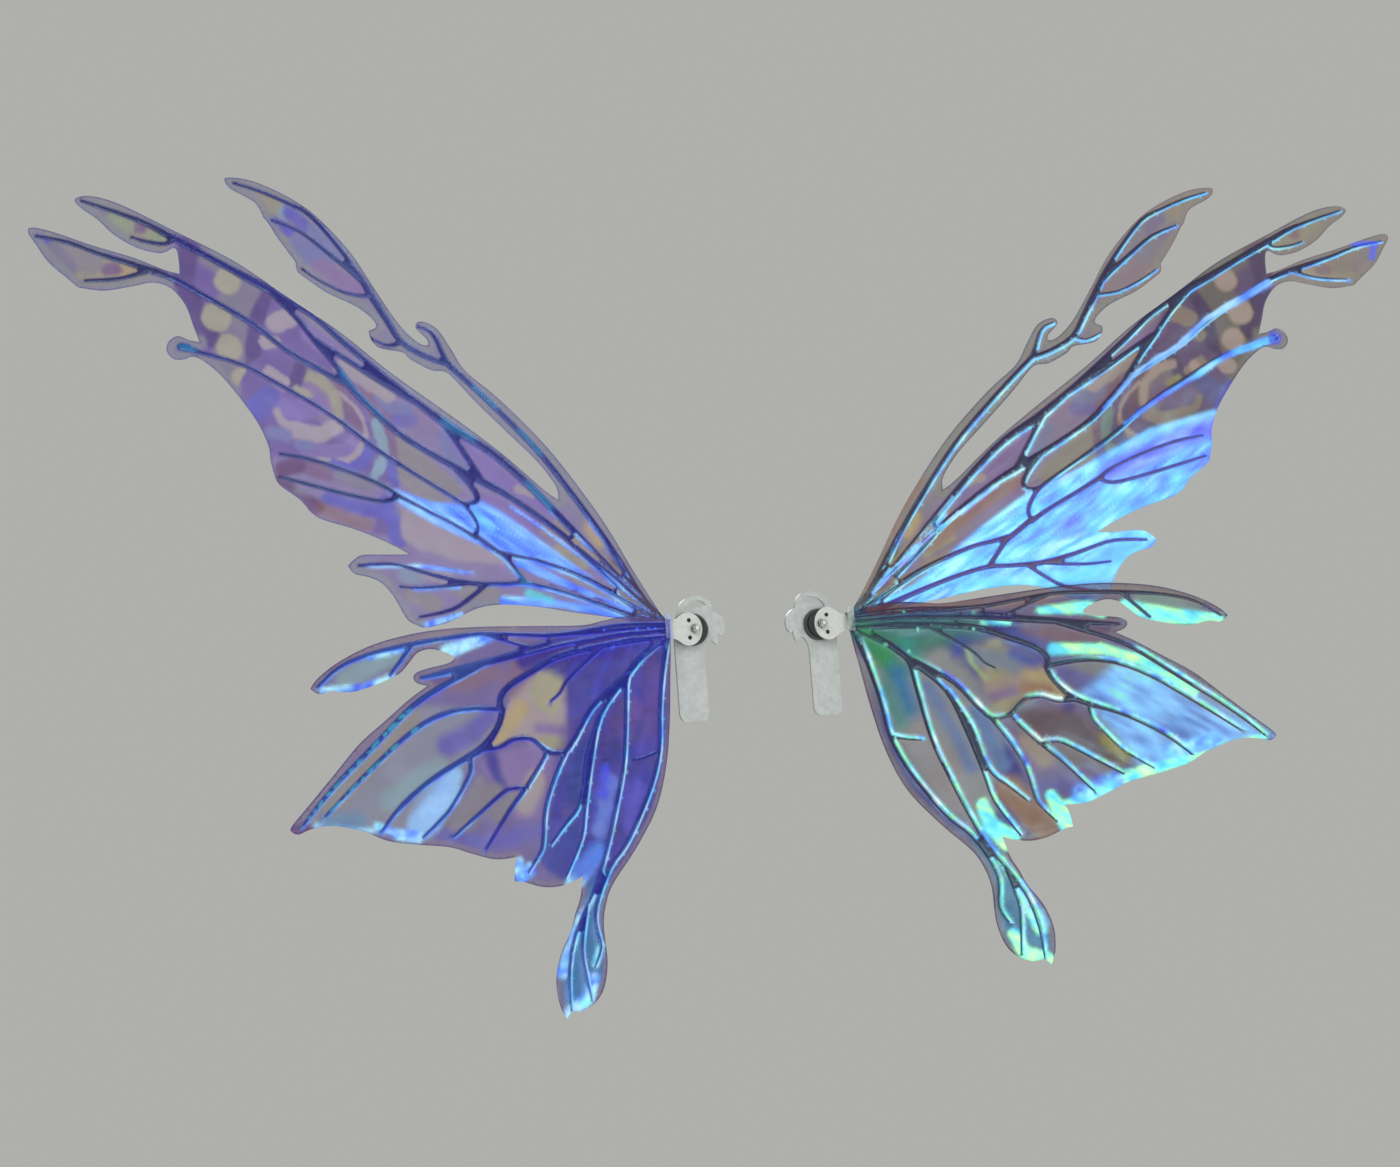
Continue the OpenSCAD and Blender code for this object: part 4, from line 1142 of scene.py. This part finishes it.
FILM_TINT = {"left": (0.35, 0.62, 1.0, 1), "right": (0.4, 0.85, 0.95, 1)}
WRAP_COLOURS = {"left": ((0.16, 0.16, 0.42), (0.36, 0.44, 0.72)),
                "right": ((0.20, 0.26, 0.24), (0.46, 0.52, 0.48))}
film = {side: material("film_" + side, film_look, IOR=1.45, Specular_IOR_Level=0.34,
                       Specular_Tint=FILM_TINT[side], Coat_Weight=0.06, Coat_Roughness=0.16,
                       Coat_IOR=1.5)
        for side in SIDES}
wrap_film = {side: material("wrap_" + side, wrap_look(*WRAP_COLOURS[side]), Roughness=0.14, IOR=1.5)
             for side in SIDES}
vein_material = material("vein_sheet", vein_look, IOR=1.6, Coat_Weight=0.4, Coat_Roughness=0.1)
white_plastic = material("white_plastic", speckled((0.34, 0.35, 0.325), (0.30, 0.31, 0.29), 300,
                                                   (0.30, 0.44)),
                         IOR=1.5, Subsurface_Weight=0.08, Subsurface_Scale=0.001)
frosted = material("frosted_plastic", speckled((0.315, 0.33, 0.32), (0.25, 0.262, 0.255), 240,
                                               (0.26, 0.45), 0.2),
                   IOR=1.49, Alpha=0.84)
black_rubber = material("black_rubber", speckled((0.008, 0.008, 0.008), (0.016, 0.017, 0.016), 700,
                                                 (0.55, 0.75), 0.4, 0.00015), IOR=1.35)
grey_rubber = material("grey_rubber", speckled((0.022, 0.022, 0.023), (0.04, 0.04, 0.042), 700,
                                               (0.5, 0.7), 0.4, 0.00015), IOR=1.4)
zinc = material("zinc_plate", speckled((0.34, 0.35, 0.34), (0.26, 0.27, 0.26), 500, (0.3, 0.44),
                                       0.06, 0.00002), Metallic=1.0)
# The nut's zinc is a darker copy of the bolt's: painted shade on the nut's sides.
nut_zinc_shaded = material("nut_zinc_shaded", speckled((0.26, 0.27, 0.26), (0.18, 0.19, 0.18), 500, (0.3, 0.42),
                                         0.06, 0.00002), Metallic=1.0)
nylon = material("nylon_ring", speckled((0.74, 0.75, 0.72), (0.62, 0.63, 0.60), 600, (0.4, 0.55)),
                 IOR=1.53)

# ---------------------------------------------------------------- the CAD's own pieces

# material of each node that keeps its CAD shape, and how far its edges are rounded, in mm
CAD_LOOKS = {
    "back_plate": (frosted, 0.45), "pivot_bolt": (zinc, 0.12), "rear_disc": (grey_rubber, 0.25),
    "front_disc": (black_rubber, 0.3), "wing_plate": (white_plastic, 0.35),
    "lock_nut": (nut_zinc_shaded, 0.14), "nut_insert": (nylon, 0.08), "root_wrap": (wrap_film, 0.12),
}


def dress(obj, look, edge_mm):
    """Gives a CAD node its material and finely rounded edges."""
    obj.data.materials.clear()
    obj.data.materials.append(look)
    weld = obj.modifiers.new("weld", "WELD")
    weld.merge_threshold = 1e-6
    bevel = obj.modifiers.new("soft_edges", "BEVEL")
    bevel.width = edge_mm * MM
    bevel.segments = 2
    bevel.limit_method = "ANGLE"
    bevel.angle_limit = math.radians(40)
    bevel.harden_normals = True


for side in SIDES:
    for part, (look, edge_mm) in CAD_LOOKS.items():
        own_look = look[side] if look is wrap_film else look
        dress(frame["nodes"][side + "_" + part], own_look, edge_mm)

# ---------------------------------------------------------------- wings

panels = {"upper": Panel("upper"), "lower": Panel("lower")}
places = {(side, part): Place(side, part) for side in SIDES for part in panels}


def tail_angle(side):
    """Direction of a lower panel's lowest point from the point it is lifted about."""
    place = places[side, "lower"]
    outline = front_loops(frame["nodes"][side + "_lower_film_front"], place.normal)[0]
    u, v = min(place.flat(outline), key=lambda point: point[1])
    return math.degrees(math.atan2(v, u - LIFT_U))


# The meshes are made from the left panels; the CAD's right lower panel is turned a little.
places["right", "lower"].lift = tail_angle("right") - tail_angle("left")

PAINTS = {"upper": paint_upper, "lower": paint_lower}
WAVE_SEEDS = {"upper": 3, "lower": 9}
RIB_DEPTH = 0.14        # how far the vein sheet lies under the films' surface, in mm
RIB_LEAST = 0.05        # and the least half thickness of it


def wing_piece(side, name, shape, look, paint, stands_for, rim=None):
    """One painted sheet of a side's wing."""
    verts, faces, order, _ = shape
    piece = mesh_piece(side + "_" + name, verts, faces, look, rim=rim)
    film_attribute(piece, paint, order)
    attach(piece, side + "_wing")
    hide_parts(*(side + "_" + node_name for node_name in stands_for))


for side in SIDES:
    for part, panel in panels.items():
        place, flip = places[side, part], side == "left"
        paint = PAINTS[part](panel, side)
        wave, half = waviness(panel, WAVE_SEEDS[part]), half_thickness(panel)
        skin = two_sided(panel, place, panel.tris, half, wave, flip)
        core = np.maximum(half - RIB_DEPTH, RIB_LEAST)
        ribs = two_sided(panel, place, panel.tris[panel.in_vein], core, wave, flip)
        wing_piece(side, part + "_film", skin, film[side], paint,
                   (part + "_film_front", part + "_film_back"), skin[3])
        wing_piece(side, part + "_vein_ribs", ribs, vein_material, paint,
                   (part + "_veins",))

# ---------------------------------------------------------------- studio

FLOOR_Z = cad_bounds[0][2] - 0.9
FLOOR_RADIUS, FLOOR_SIDES = 7, 64


def floor_look(tree, shader):
    cloud = ranged(tree, noise_of(tree, 3, 4), 0, 1)
    feed(tree, shader, Base_Color=mixed(tree, cloud, (0.68, 0.685, 0.67), (0.71, 0.715, 0.70)))


floor_material = material("floor", floor_look, Roughness=0.9, IOR=1.3)
ring = [(FLOOR_RADIUS * math.cos(a), FLOOR_RADIUS * math.sin(a), FLOOR_Z)
        for a in np.arange(FLOOR_SIDES) * 2 * math.pi / FLOOR_SIDES]
floor = mesh_piece("studio_floor", ring, [range(FLOOR_SIDES)], floor_material, smooth=False)

world = bpy.data.worlds.new("studio")
world.use_nodes = True
world.node_tree.nodes["Background"].inputs["Color"].default_value = (*BACKDROP, 1)
bpy.context.scene.world = world
bpy.context.scene.view_settings.view_transform = "Standard"


def softbox(name, place, target, size, power, colour=(1, 1, 1)):
    data = bpy.data.lights.new(name, "AREA")
    data.shape = "RECTANGLE"
    data.size, data.size_y = size
    data.energy = power
    data.color = colour
    lamp = linked(name, data)
    aim(lamp, place, Vector(target) - Vector(place), (0, 0, 1))
    lamp.visible_camera = False


softbox("key", (-1.6, -2.2, 1.7), (0, 0, 0), (1.4, 1.4), 66)
softbox("low_front", (0.2, -1.9, -0.36), (0.1, 0, 0.05), (1.6, 0.22), 20, (0.9, 0.95, 1.0))
softbox("right_front", (1.8, -1.9, 1.5), (0.1, 0, 0), (1.0, 0.8), 30, (0.97, 0.99, 1.0))
softbox("hub", (0.82, -2.27, 0.27), (0, 0, 0), (0.3, 0.3), 4)
softbox("back", (0.4, 2.4, 1.3), (0, 0, 0), (1.6, 1.4), 50)
